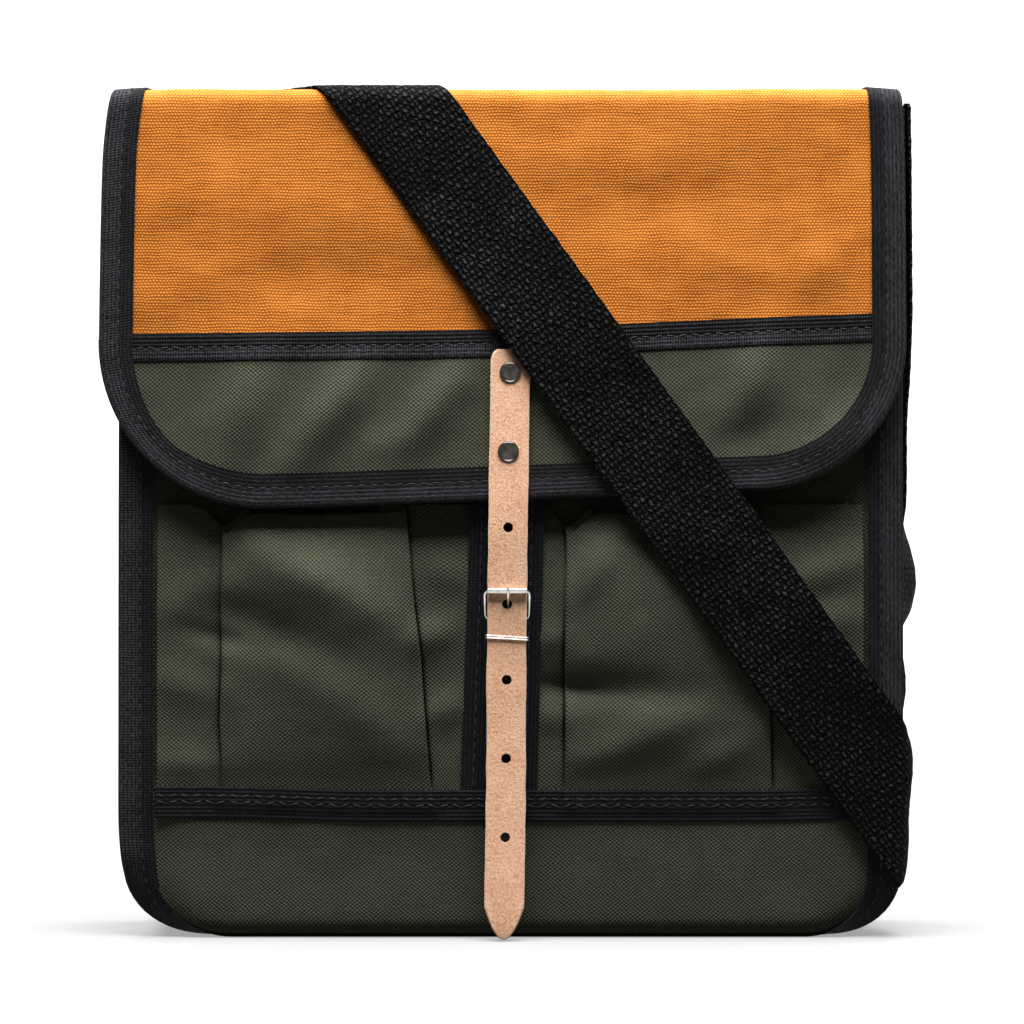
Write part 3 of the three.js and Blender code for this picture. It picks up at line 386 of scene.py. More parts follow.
def wall(points, thickness, front=0, back=0):
    """Vertices and quads of a closed wall round a grid of points on its middle surface."""
    normal = grid_normals(points)
    rows, columns = points.shape[:2]
    lift = lambda relief: (thickness / 2 + np.broadcast_to(relief, (rows, columns)))[..., None]
    vertices = np.concatenate([
        (points + normal * lift(front)).reshape(-1, 3),
        (points - normal * lift(back)).reshape(-1, 3),
    ])
    ids = np.arange(rows * columns).reshape(rows, columns)
    sheet = np.stack([ids[:-1, :-1], ids[1:, :-1], ids[1:, 1:], ids[:-1, 1:]], -1).reshape(-1, 4)
    edge = np.concatenate([ids[:-1, 0], ids[-1, :-1], ids[:0:-1, -1], ids[0, :0:-1]])
    after = np.roll(edge, -1)
    behind = rows * columns
    rim = np.stack([after, edge, edge + behind, after + behind], -1)
    return vertices, np.concatenate([sheet, sheet[:, ::-1] + behind, rim])


def rings(points, closed=False):
    """Vertices and faces of a tube through rings of points, its ends closed by flat caps."""
    count, sides = points.shape[:2]
    ids = np.arange(count * sides).reshape(count, sides)
    start = ids if closed else ids[:-1]
    end = np.roll(ids, -1, 0) if closed else ids[1:]
    around = lambda a: np.roll(a, -1, 1)
    quads = np.stack([start, around(start), around(end), end], -1).reshape(-1, 4)
    faces = [tuple(q) for q in quads.tolist()]
    if not closed:
        faces += [tuple(ids[0][::-1].tolist()), tuple(ids[-1].tolist())]
    return points.reshape(-1, 3), faces


def tube(path, radius, up, sides=14, closed=False):
    """A round wire along a path; `up` is a direction that the path never follows."""
    path = np.asarray(path, float)
    if closed:
        along = np.roll(path, -1, 0) - np.roll(path, 1, 0)
    else:
        along = np.gradient(path, axis=0)
    side = np.cross(along, np.asarray(up, float))
    side /= np.linalg.norm(side, axis=1, keepdims=True)
    over = np.cross(side, along)
    over /= np.linalg.norm(over, axis=1, keepdims=True)
    angles = np.linspace(0, 2 * np.pi, sides, endpoint=False)
    radius = np.broadcast_to(radius, len(path))[:, None, None]
    round_ = side[:, None] * np.cos(angles)[None, :, None] + over[:, None] * np.sin(angles)[None, :, None]
    return rings(path[:, None] + radius * round_[:, ::-1], closed)


def lathe(profile, centre, axis, sides=40):
    """A turned shape: (radius, distance along the axis) rows, outermost point of the axis last."""
    axis = np.asarray(axis, float) / np.linalg.norm(axis)
    side = np.cross(axis, (0, 0, 1.0))
    side /= np.linalg.norm(side)
    over = np.cross(axis, side)
    angles = np.linspace(0, 2 * np.pi, sides, endpoint=False)
    round_ = side * np.cos(angles)[:, None] + over * np.sin(angles)[:, None]
    points = np.array([centre + axis * out + round_ * radius for radius, out in profile])
    return rings(points)


def add(name, shape, material, nodes=(), flat=None, sharp=60):
    """Makes a piece of the bag from vertices and faces given in millimetres."""
    vertices, faces = shape
    mesh = bpy.data.meshes.new(name)
    moved = (np.asarray(vertices, float) + (0, DEPTH_SHIFT, 0)) * MM
    mesh.from_pydata(moved.tolist(), [], [tuple(map(int, face)) for face in faces])
    mesh.materials.append(material)
    mesh.polygons.foreach_set("use_smooth", np.ones(len(mesh.polygons), bool))
    if sharp:
        mesh.set_sharp_from_angle(angle=math.radians(sharp))
    if flat is not None:
        corners = np.zeros(len(mesh.loops), np.int32)
        mesh.loops.foreach_get("vertex_index", corners)
        layer = mesh.uv_layers.new(name="cloth")
        layer.data.foreach_set("uv", np.asarray(flat, np.float32)[corners].ravel())
    piece = bpy.data.objects.new(name, mesh)
    bpy.context.scene.collection.objects.link(piece)
    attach(piece, "root")
    if nodes:
        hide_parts(*nodes)
    return piece


def flat_spots(u, v):
    """Flat cloth coordinates in millimetres for both sides of a wall."""
    one = np.stack(np.broadcast_arrays(u, v), -1).reshape(-1, 2)
    return np.concatenate([one, one])


def stitch_row(path, normal, seed, slant=0.0):
    """Thread stitches along a path, half sunk into the surface whose normals are given."""
    rng = np.random.default_rng(seed)
    path = np.asarray(path, float)
    normal = np.broadcast_to(np.asarray(normal, float), path.shape)
    run = np.concatenate([[0], np.cumsum(np.linalg.norm(np.diff(path, axis=0), axis=1))])
    places = np.arange(STITCH_PITCH / 2, run[-1] - STITCH_PITCH / 3, STITCH_PITCH)
    places = places + rng.uniform(-0.25, 0.25, len(places))
    pick = lambda data, at: np.stack([np.interp(at, run, data[:, k]) for k in range(3)], -1)
    centre = pick(path, places)
    up = pick(normal, places)
    up /= np.linalg.norm(up, axis=1, keepdims=True)
    along = pick(path, places + 1) - pick(path, places - 1)
    along -= up * np.sum(along * up, axis=1, keepdims=True)
    along /= np.linalg.norm(along, axis=1, keepdims=True)
    side = np.cross(up, along)
    turn = slant * np.where(np.arange(len(places)) % 2, 1, -1) + rng.uniform(-0.08, 0.08, len(places))
    along, side = (
        along * np.cos(turn)[:, None] + side * np.sin(turn)[:, None],
        side * np.cos(turn)[:, None] - along * np.sin(turn)[:, None],
    )
    angles = np.linspace(0, 2 * np.pi, 6, endpoint=False)[:, None]
    stitches = []
    for k in range(len(places)):
        around = side[k] * np.cos(angles) * STITCH_FLATNESS + up[k] * np.sin(angles)
        ring = np.array([
            centre[k]
            + along[k] * STITCH_LENGTH * at
            + up[k] * STITCH_RADIUS * (STITCH_RISE - STITCH_DIP * at * at)
            + STITCH_RADIUS * size * around
            for at, size in STITCH_PROFILE
        ])
        stitches.append(rings(ring[:, ::-1] if np.dot(np.cross(side[k], up[k]), along[k]) > 0 else ring))
    return join(stitches)


def join(shapes):
    vertices = []
    faces = []
    count = 0
    for some, quads in shapes:
        faces += [tuple(int(index) + count for index in quad) for quad in quads]
        vertices.append(some)
        count += len(some)
    return np.concatenate(vertices), faces


# Materials


class Value:
    """A shader value; arithmetic with it adds Math nodes to its material."""

    def __init__(self, tree, socket):
        self.tree = tree
        self.socket = socket

    def math(self, operation, *others):
        node = self.tree.nodes.new("ShaderNodeMath")
        node.operation = operation
        for place, value in enumerate((self, *others)):
            put(self.tree, node.inputs[place], value)
        return Value(self.tree, node.outputs[0])

    def __add__(self, other):
        return self.math("ADD", other)

    def __sub__(self, other):
        return self.math("SUBTRACT", other)

    def __mul__(self, other):
        return self.math("MULTIPLY", other)

    def wave(self, pitch):
        return (self * (math.pi / pitch)).math("SINE")

    def ramp(self, low, high):
        node = self.tree.nodes.new("ShaderNodeMapRange")
        node.inputs["From Min"].default_value = low
        node.inputs["From Max"].default_value = high
        self.tree.links.new(self.socket, node.inputs["Value"])
        return Value(self.tree, node.outputs["Result"])


def put(tree, socket, value):
    if isinstance(value, Value):
        tree.links.new(value.socket, socket)
    else:
        socket.default_value = value


class Finish:
    """A material under construction: its node tree and its surface shader."""

    def __init__(self, name, roughness, **sockets):
        self.material = bpy.data.materials.new(name)
        self.material.use_nodes = True
        self.tree = self.material.node_tree
        self.shader = self.tree.nodes["Principled BSDF"]
        self.shader.inputs["Roughness"].default_value = roughness
        for socket, value in sockets.items():
            self.shader.inputs[socket.replace("_", " ")].default_value = value

    def node(self, kind, **inputs):
        node = self.tree.nodes.new(kind)
        for socket, value in inputs.items():
            put(self.tree, node.inputs[socket.replace("_", " ")], value)
        return node

    def cloth_place(self):
        node = self.node("ShaderNodeUVMap")
        node.uv_map = "cloth"
        return Value(self.tree, node.outputs["UV"])

    def object_place(self):
        return Value(self.tree, self.node("ShaderNodeTexCoord").outputs["Object"])

    def object_millimetres(self):
        return self.stretch(self.object_place(), 1 / MM, 1 / MM, 1 / MM)

    def parts(self, vector):
        node = self.node("ShaderNodeSeparateXYZ", Vector=vector)
        return [Value(self.tree, node.outputs[k]) for k in range(3)]

    def stretch(self, vector, x, y, z=1.0):
        node = self.node("ShaderNodeVectorMath")
        node.operation = "MULTIPLY"
        put(self.tree, node.inputs[0], vector)
        node.inputs[1].default_value = (x, y, z)
        return Value(self.tree, node.outputs[0])

    def noise(self, vector, scale, detail=2.0, roughness=0.5):
        sockets = {"Vector": vector, "Scale": scale, "Detail": detail, "Roughness": roughness}
        return Value(self.tree, self.node("ShaderNodeTexNoise", **sockets).outputs["Fac"])

    def mix(self, share, a, b):
        node = self.node("ShaderNodeMix")
        node.data_type = "RGBA"
        for socket, value in (("Factor_Float", share), ("A_Color", a), ("B_Color", b)):
            found = next(s for s in node.inputs if s.identifier == socket)
            put(self.tree, found, (*value, 1) if isinstance(value, tuple) else value)
        return Value(self.tree, next(s for s in node.outputs if s.identifier == "Result_Color"))

    def shade(self, colour, factor):
        node = self.node("ShaderNodeVectorMath")
        node.operation = "SCALE"
        put(self.tree, node.inputs[0], colour)
        put(self.tree, node.inputs["Scale"], factor)
        return Value(self.tree, node.outputs[0])

    def finish(self, colour, height, distance, roughness=None):
        put(self.tree, self.shader.inputs["Base Color"], colour)
        bump = self.node("ShaderNodeBump", Height=height)
        bump.inputs["Distance"].default_value = distance * MM
        self.tree.links.new(bump.outputs["Normal"], self.shader.inputs["Normal"])
        if roughness is not None:
            put(self.tree, self.shader.inputs["Roughness"], roughness)
        return self.material


def woven(name, low, high, end, pick, rib, streak, distance, **sockets):
    """Plain weave: the raised thread crossings and ribs are coloured lighter and the low places between
    them darker, as painted light and painted shade, and the same waves bump the cloth.
    """
    made = Finish(name, 0.85, **sockets)
    place = made.cloth_place()
    u, v, _ = made.parts(place)
    u = u + (made.noise(place, 0.09) - 0.5) * (1.8 * end)
    v = v + (made.noise(place, 0.13) - 0.5) * (1.2 * pick)
    knuckle_relief_and_shade = u.wave(end) * v.wave(pick)
    ribbing_relief_and_shade = (v * (2 * math.pi / pick)).math("COSINE") * -rib
    warp = made.noise(made.stretch(place, 0.06, 0.9), 1.0, 3.0)
    weft = made.noise(made.stretch(place, 1.1, 0.05), 1.0, 3.0)
    slub = warp * 1.4 + weft * 0.6
    fleck = made.noise(place, 1.3, 2.0)
    knuckle_relief_and_shade = knuckle_relief_and_shade * (0.5 - 0.4 * rib)
    height = knuckle_relief_and_shade + ribbing_relief_and_shade + slub * (0.5 * streak)
    worn = made.noise(place, 0.05, 4.0, 0.6)
    cloud = worn * (0.3 + 1.2 * rib) - 0.6 * rib
    # Painted light and shade: high crossings and ribs lighter, the hollows between them darker.
    tone = (knuckle_relief_and_shade + ribbing_relief_and_shade + slub * streak + fleck * 0.6 + cloud + (0.05 - streak)).ramp(0, 1)
    return made.finish(made.mix(tone, low, high), height, distance)


def taped(name, low, high, inner, distance, **sockets):
    """Ribbed tape: the grooves along it coloured darker as painted shade, broken by cross threads, and its
    inner part painted darker as shade, as dark as given.
    """
    made = Finish(name, 0.75, **sockets)
    place = made.cloth_place()
    u, v, _ = made.parts(place)
    rib = (v * (2 * math.pi / TAPE_RIB)).math("COSINE")
    cross = (u + made.noise(place, 0.4) * 1.0).wave(0.62)
    fibre = made.noise(made.stretch(place, 0.5, 1.6), 1.0, 3.0, 0.6)
    worn = made.noise(place, 0.07, 4.0, 0.6)
    height = rib * 0.34 + cross * 0.2 + fibre * 0.6
    # Painted shade: the grooves between the ribs are coloured darker.
    tone = (rib * 0.16 + cross * 0.24 + fibre * 2.0 + worn * 0.5 - 1.0).ramp(0, 1)
    # Painted shade over the inner part of the tape, up to 6 to 8 mm across, as dark as `inner`.
    inner_shade = v.ramp(6.2, 8.2) * (1 - inner) + inner
    return made.finish(made.shade(made.mix(tone, low, high), inner_shade), height, distance)


def corded(name, low, high, distance, **sockets):
    """Coarse webbing: uneven knobs where a warp cord rises over the weft, with sunk ones between them; the
    knobs carry a painted glint, lighter than the black ground, and the sunk ones a weaker one.
    """
    made = Finish(name, 0.7, **sockets)
    place = made.cloth_place()
    u, v, _ = made.parts(place)
    u = u + (made.noise(place, 0.35) - 0.5) * 4.4
    v = v + (made.noise(place, 0.3) - 0.5) * 3.0
    weave = u.wave(WEB_FLOAT) * v.wave(WEB_CORD)
    bead_and_glint = weave.ramp(-0.1, 0.95)
    sunk = (weave * -1.0).ramp(0.15, 1) * 0.5
    patch = made.noise(place, 0.02, 3.0) * 2.2 - 0.2
    fibre = made.noise(made.stretch(place, 1.0, 2.0), 1.1, 3.0, 0.6).ramp(0.3, 0.7)
    uneven = made.noise(place, 0.33, 3.0).ramp(0.35, 0.65)
    height = bead_and_glint + sunk + fibre * 0.2
    # Painted glint: the raised knobs, and less so the sunk ones, are coloured lighter than the black
    # between them.
    tone = ((bead_and_glint * bead_and_glint + sunk) * (uneven * 0.7 + 0.4) * patch * (fibre * 0.8 + 0.5)).ramp(0.04, 1)
    return made.finish(made.mix(tone, low, high), height, distance)


def threaded(name, low, high, **sockets):
    """Twisted thread: fine light and dark plies."""
    made = Finish(name, 0.6, **sockets)
    place = made.object_millimetres()
    ply = made.noise(place, 1.4, 3.0, 0.6)
    return made.finish(made.mix(ply.ramp(0.3, 0.7), low, high), ply, 0.05)


def leathery(name, low, high, pore, distance, **sockets):
    """Undyed leather: cloudy colour, wrinkled grain and small dark pores."""
    made = Finish(name, 0.6, **sockets)
    place = made.object_millimetres()
    cloud = made.noise(place, 0.09, 4.0, 0.55)
    grain = made.noise(place, 0.85, 4.0, 0.7)
    fibre = made.noise(made.stretch(place, 1.0, 1.0, 0.5), 1.7, 3.0, 0.6)
    speck = made.noise(place, 1.7, 2.0).ramp(0.6, 0.75)
    tone = (cloud * 1.1 + grain * 2.4 + fibre * 2.2 - 2.2).ramp(0, 1)
    fuzz = made.noise(place, 1.4, 4.0, 0.7).ramp(0.6, 0.7)
    pale = (0.98, 0.76, 0.6)
    colour = made.mix(speck * 0.6, made.mix(tone, low, high), pore)
    colour = made.mix(fuzz * 0.6, colour, pale)
    return made.finish(colour, grain + fibre * 0.5, distance, roughness=grain * 0.3 + 0.42)


def metal(name, colour, worn, roughness, **sockets):
    """Plated metal: worn patches and fine scratches."""
    made = Finish(name, roughness, Metallic=1.0, **sockets)
    place = made.object_millimetres()
    patch = made.noise(place, 0.35, 4.0, 0.6).ramp(0.4, 0.7)
    scratch = made.noise(made.stretch(place, 0.3, 3.0, 3.0), 1.2, 3.0, 0.7)
    rough = patch * 0.12 + scratch * 0.1 + (roughness - 0.1)
    return made.finish(made.mix(patch, colour, worn), scratch, 0.02, roughness=rough)


OLIVE = woven(
    "olive_fabric", low=(0.005, 0.0055, 0.003), high=(0.105, 0.106, 0.07), end=1.08, pick=0.94,
    rib=0.0, streak=0.2, distance=0.25, Specular_IOR_Level=0.15,
)
ORANGE = woven(
    "orange_canvas", low=(0.22, 0.045, 0.002), high=(0.82, 0.285, 0.045), end=0.8, pick=1.41,
    rib=0.25, streak=0.4, distance=0.155, Specular_IOR_Level=0.12,
)
# Its inner part is painted darker as shade, down to 0.42.
BLACK = taped(
    "black_tape", low=(0.001, 0.001, 0.0015), high=(0.078, 0.073, 0.083), inner=0.42, distance=0.2,
    Specular_IOR_Level=0.08,
)
DULL_BLACK = taped(
    "dull_black_tape", low=(0.002, 0.002, 0.0025), high=(0.024, 0.023, 0.027), inner=1.0, distance=0.12,
    Specular_IOR_Level=0.08,
)
WEB = corded(
    "black_webbing", low=(0.0002, 0.0002, 0.0003), high=(0.057, 0.057, 0.058), distance=1.4,
    Specular_IOR_Level=0.035,
)
THREAD = threaded("black_thread", (0.004, 0.004, 0.005), (0.034, 0.033, 0.036), Specular_IOR_Level=0.2)
TAN = leathery(
    "natural_leather", low=(0.61, 0.285, 0.145), high=(0.96, 0.59, 0.39), pore=(0.52, 0.24, 0.12),
    distance=0.3, Specular_IOR_Level=0.3,
)
TAN_EDGE = leathery(
    "leather_edge", low=(0.70, 0.42, 0.29), high=(0.95, 0.72, 0.58), pore=(0.56, 0.32, 0.2),
    distance=0.2, Specular_IOR_Level=0.2,
)
NICKEL = metal("nickel", colour=(0.66, 0.64, 0.60), worn=(0.52, 0.50, 0.46), roughness=0.26)
DARK_NICKEL = metal("dark_nickel", colour=(0.05, 0.044, 0.04), worn=(0.1, 0.089, 0.082), roughness=0.34)


# Body


def panel_y(facing, x, z):
    share = (x - BODY_CENTRE_X) / BODY_HALF_WIDTH
    swell = (1 - share * share) * np.sin(np.pi * np.clip(z / GUSSET_HEIGHT, 0, 1))
    lean, bulge = (FRONT_LEAN, FRONT_BULGE) if facing < 0 else (BACK_LEAN, BACK_BULGE)
    return facing * (read(lean, z) + bulge * swell)


def side_taper(z):
    share = np.clip(1 - z / TAPER_FROM, 0, 1)
    return FOOT_TAPER * share * share


def foot_shift(z):
    """The foot is drawn in more at the left side than at the right side."""
    return FOOT_LEAN * side_taper(z)


def seam_stations(top):
    """Seam line down the left side, along the foot and up the right side: x, z, outward x and z, turn."""
    side = BODY_HALF_WIDTH - FLANGE
    inner = side - SEAM_CORNER
    corner = SEAM_FOOT + SEAM_CORNER
    heights = steps(top, corner, 3)
    angle = np.linspace(0, np.pi / 2, 18)[1:]
    foot = steps(-inner, 0, 4)[1:-1]
    x = np.concatenate([np.full(len(heights), -side), -inner - SEAM_CORNER * np.cos(angle), foot])
    z = np.concatenate([heights, corner - SEAM_CORNER * np.sin(angle), np.full(len(foot), SEAM_FOOT)])
    out_x = np.concatenate([np.full(len(heights), -1.0), -np.cos(angle), 0 * foot])
    out_z = np.concatenate([0 * heights, -np.sin(angle), np.full(len(foot), -1.0)])
    below = np.concatenate([
        TURN_FROM - heights, TURN_FROM - corner + SEAM_CORNER * angle, np.full(len(foot), TURN_LENGTH),
    ])
    turn = np.pi / 2 * smooth(below, 3, TURN_LENGTH)
    late = np.pi / 2 * smooth(below, 4.5, TURN_LENGTH)
    both = lambda half, sign, middle: np.concatenate([half, [middle], sign * half[::-1]])
    return (
        both(x, -1, 0)[:, None], both(z, 1, SEAM_FOOT)[:, None], both(out_x, -1, 0)[:, None],
        both(out_z, 1, -1)[:, None], np.concatenate([turn, [np.pi / 2], late[::-1]])[:, None],
    )


def seam_spot(facing, stations, out, lift):
    x, z, out_x, out_z, turn = stations
    turned = np.where(out > 0, turn, 0)
    in_plane = out * np.cos(turned) + lift * np.sin(turned)
    inward = np.where(out > 0, out * np.sin(turned), 0)
    y = panel_y(facing, BODY_CENTRE_X + x, z) + facing * (lift * np.cos(turned) - inward)
    x = BODY_CENTRE_X + x + out_x * in_plane - np.sign(x) * side_taper(z) + foot_shift(z)
    return spot(x, y, z + out_z * in_plane)


def run_along(points):
    """Distance along each column of a grid of points."""
    step = np.linalg.norm(np.diff(points, axis=0), axis=-1)
    return np.concatenate([np.zeros((1, points.shape[1])), np.cumsum(step, axis=0)])


def front_lie(x, z, half, wrinkle):
    """The front swells at its foot, lies back behind the pockets, and fills the room under the flap."""
    aside = np.abs((x - BODY_CENTRE_X) / half)
    belly = lerp(FOOT_BELLY, TAPE_BELLY, smooth(z, 8, 54)) * (1 - smooth(z, 58, 68))
    belly = belly * np.sqrt(smooth(z, 2, 8)) - POCKET_RECESS * smooth(z, 65, 74)
    wrinkle = wrinkle * (1 - smooth(z, 40, 60) * 0.8) + belly * (1 - aside ** 24)
    room = panel_y(-1, x, z) - flap_spot(x, flap_run(z), -2.0)[..., 1] - 1.2
    filled = smooth(z, 214, 240) * (1 - smooth(z, 345, 366)) * (1 - aside ** 6)
    return lerp(wrinkle, np.maximum(room, 0), filled)


def body_panel(name, facing, height):
    reach = SEAM_CORNER - GAP
    centre = SEAM_FOOT + SEAM_CORNER
    straight = BODY_HALF_WIDTH - FLANGE - SEAM_CORNER
    corner = centre - reach * np.cos(np.linspace(0, np.pi / 2, 12))
    z = np.concatenate([corner, steps(centre, height, 4)[1:]])
    drop = np.maximum(centre - z, 0)
    half = straight + np.sqrt(np.maximum(reach * reach - drop * drop, 0)) - side_taper(z) + SEAM_TUCK
    x = BODY_CENTRE_X + foot_shift(z) - facing * np.linspace(-1, 1, 90)[:, None] * half[None, :]
    z = np.broadcast_to(z, x.shape)
    still = (1 - ((x - BODY_CENTRE_X) / BODY_HALF_WIDTH) ** 6) * smooth(z, 6, 40)
    seed = 3 if facing < 0 else 5
    wrinkle = still * (0.9 * ripple(x, z, 70, seed) + 0.35 * ripple(x, z, 22, seed + 1))
    if facing < 0:
        wrinkle = front_lie(x, z, half, wrinkle)
    points = spot(x, panel_y(facing, x, z) + facing * wrinkle, z)
    return add(name, wall(points, CLOTH), OLIVE, [name], flat_spots(x, z))


def folded_tape(leg, back, edge, lift):
    """Section of a tape folded round an edge: reach, lift, and distance across the tape."""
    nose = np.linspace(np.pi / 2, -np.pi / 2, 9)[1:-1]
    outward = np.sign(edge - leg[0])
    reach = np.concatenate([leg, edge + outward * lift * np.cos(nose), back])
    rise = np.concatenate([np.full(len(leg), lift), lift * np.sin(nose), np.full(len(back), -lift)])
    across = np.concatenate([[0], np.cumsum(np.hypot(np.diff(reach), np.diff(rise)))])
    return reach[None, :], rise[None, :], across[None, :]


def bound_tape(name, points, across, seed, flip=False):
    """A folded tape with fine ribs, from points along it and across it."""
    along = run_along(points)
    relief = ribs(across, TAPE_RIB, 0.05) + 0.15 * ripple(along, across, 9, seed) - 0.2
    if flip:
        points, along, relief = points[::-1], along[::-1], relief[::-1]
    shape = wall(points, TAPE, relief)
    return add(name, shape, BLACK, [name], flat_spots(along, across), sharp=75)


def sew(name, line, below, seed, slant=0.0):
    """A row of stitches along a line of spots, raised from the spots below them."""
    row = stitch_row(line[:, 0], (line - below)[:, 0], seed, slant)
    return add(name, row, THREAD)


def body_binding(name, facing):
    stations = seam_stations(FRONT_HEIGHT - 2)
    leg = steps(0, BOUND_EDGE, 0.4) + 0.02
    out, lift, across = folded_tape(leg, steps(BOUND_EDGE, 8, 1.6), BOUND_EDGE, BOUND_LIFT)
    tape = bound_tape(name, seam_spot(facing, stations, out, lift), across, 21, flip=facing > 0)
    line, below = (
        seam_spot(facing, stations, np.array([[BOUND_STITCH]]), np.array([[height]]))
        for height in (BOUND_LIFT - 0.15 + TAPE / 2, 0.0)
    )
    return tape, sew(name.replace("binding", "stitching"), line, below, 31)


def gusset_strip():
    stations = seam_stations(GUSSET_HEIGHT)
    x, z, out_x, out_z, turn = stations
    v = np.linspace(1, 0, 26)[None, :]
    deep = v * 90
    lies = turn / (np.pi / 2)
    swell = np.sin(np.pi * v) ** (1 + lies)
    bulge = lerp(GUSSET_SIDE_BULGE, GUSSET_FOOT_BULGE, lies) * swell
    out = 3 * np.cos(turn) - 3.3 * np.sin(turn) + bulge
    at_x = BODY_CENTRE_X + x + out_x * out - np.sign(x) * side_taper(z) + foot_shift(z)
    at_z = z + out_z * out
    near = panel_y(-1, at_x, at_z) + CLOTH / 2 + GAP
    far = panel_y(1, at_x, at_z) - CLOTH / 2 - GAP
    points = spot(at_x, lerp(near, far, v), at_z)
    along = run_along(points)
    wave = (1 - lies) * 1.4 * ripple(along, deep, 55, 41) + 0.3 * ripple(along, deep, 17, 42)
    points = points + grid_normals(points) * (swell * wave)[..., None]
    flat = flat_spots(along, v * GUSSET_WIDTH)
    return add("gusset", wall(points, CLOTH), OLIVE, ["gusset"], flat)


# Flap


FLAP_TURN = math.pi / 2 - math.atan(FLAP_LEAN)
FLAP_BACK_RUN = FLAP_TOP_Z - FLAP_BACK_RADIUS - FLAP_BACK_START
FLAP_TOP_RUN = FLAP_BACK_RUN + FLAP_BACK_RADIUS * math.pi / 2
FLAP_ROLL_RUN = FLAP_TOP_RUN + FLAP_BACK_Y - FLAP_BACK_RADIUS - FLAP_TOP_FRONT_Y
FLAP_FRONT_RUN = FLAP_ROLL_RUN + FLAP_FRONT_RADIUS * FLAP_TURN
FLAP_FRONT_Z = FLAP_TOP_Z - FLAP_FRONT_RADIUS + FLAP_FRONT_RADIUS * math.cos(FLAP_TURN)


def flap_run(z):
    return FLAP_FRONT_RUN + (FLAP_FRONT_Z - z) / math.sin(FLAP_TURN)


def flap_profile(run):
    """Side view of the flap: y, z and the direction that its outside faces."""
    climb = np.clip((run - FLAP_BACK_RUN) / FLAP_BACK_RADIUS, 0, math.pi / 2)
    top = np.clip(run - FLAP_TOP_RUN, 0, FLAP_ROLL_RUN - FLAP_TOP_RUN)
    roll = np.clip((run - FLAP_ROLL_RUN) / FLAP_FRONT_RADIUS, 0, FLAP_TURN)
    down = np.maximum(run - FLAP_FRONT_RUN, 0)
    y = (
        FLAP_BACK_Y - FLAP_BACK_RADIUS * (1 - np.cos(climb)) - top
        - FLAP_FRONT_RADIUS * np.sin(roll) - down * math.cos(FLAP_TURN)
    )
    z = (
        FLAP_BACK_START + np.minimum(run, FLAP_BACK_RUN) + FLAP_BACK_RADIUS * np.sin(climb)
        - FLAP_FRONT_RADIUS * (1 - np.cos(roll)) - down * math.sin(FLAP_TURN)
    )
    return y, z, climb + roll


def flap_spot(x, run, lift):
    y, z, angle = flap_profile(run)
    front = smooth(run, FLAP_FRONT_RUN, FLAP_FRONT_RUN + 25)
    ridge = np.maximum(0, np.sin(np.pi * np.clip((run - FLAP_BACK_RUN) / 110, 0, 1)))
    deep = np.minimum(x - read(FLAP_LEFT, run), read(FLAP_RIGHT, run) - x)
    droop = FLAP_EDGE_DROOP * ridge * np.clip(1 - deep / FLAP_BINDING, 0, 1)
    wave = 0.45 * ripple(x, run, 52, 51) + 0.3 * ripple(x * 0.55, run, 24, 52)
    wave = wave + 0.16 * ripple(x * 0.7, run, 9, 53)
    off = lift + front * fold_lift(FLAP_FOLDS, x, z) - droop + wave * smooth(run, 20, 60)
    return spot(x, y + off * np.cos(angle), z + off * np.sin(angle))


def flap_outline():
    """The flap's edge as x, run and the inward direction, from the back left to the back right."""
    left_x = read(FLAP_LEFT, 300)
    right_x = read(FLAP_RIGHT, 300)

    def corner(edge_x, radius, angle):
        x = edge_x - np.sign(edge_x) * radius * (1 - np.cos(angle))
        return x, flap_run(read(FLAP_HEM, x) + radius * (1 - np.sin(angle)))

    def side(edge, end):
        run = steps(0, end, 3)
        return read(edge, run), run

    quarter = np.linspace(0, np.pi / 2, 40)
    left = corner(left_x, FLAP_CORNER_LEFT, quarter)
    right = corner(right_x, FLAP_CORNER_RIGHT, quarter)
    hem_x = steps(left[0][-1], right[0][-1], 3)[1:-1]
    left_side = side(FLAP_LEFT, left[1][0] - 1.5)
    right_side = side(FLAP_RIGHT, right[1][0] - 1.5)
    x = np.concatenate([left_side[0], left[0], hem_x, right[0][::-1], right_side[0][::-1]])
    run = np.concatenate([
        left_side[1], left[1], flap_run(read(FLAP_HEM, hem_x)), right[1][::-1], right_side[1][::-1],
    ])
    step_x = np.gradient(x)
    step_run = np.gradient(run)
    length = np.hypot(step_x, step_run)
    in_x = step_run / length
    in_run = -step_x / length
    in_x[:len(left_side[0])] = 1
    in_run[:len(left_side[0])] = 0
    in_x[-len(right_side[0]):] = -1
    in_run[-len(right_side[0]):] = 0
    return x[:, None], run[:, None], in_x[:, None], in_run[:, None]


def flap_binding():
    x, run, in_x, in_run = flap_outline()
    leg = steps(FLAP_BINDING, FLAP_TAPE_EDGE, 0.42)
    back = steps(FLAP_TAPE_EDGE, FLAP_BINDING, 3)
    deep, lift, across = folded_tape(leg, back, FLAP_TAPE_EDGE, FLAP_TAPE_LIFT)
    narrow_x, narrow_z, narrow = FLAP_NARROW
    near = np.exp(-((x - narrow_x) / 26) ** 2 - ((run - flap_run(narrow_z)) / 30) ** 2)
    deep = FLAP_TAPE_EDGE + (deep - FLAP_TAPE_EDGE) * (1 - narrow * near)
    place = lambda inward, height: flap_spot(x + in_x * inward, run + in_run * inward, height)
    tape = bound_tape("flap_binding", place(deep, lift), across, 61)
    line = place(FLAP_STITCH, FLAP_TAPE_LIFT - 0.15 + TAPE / 2)
    return tape, sew("flap_stitching", line, place(FLAP_STITCH, 0.0), 62)


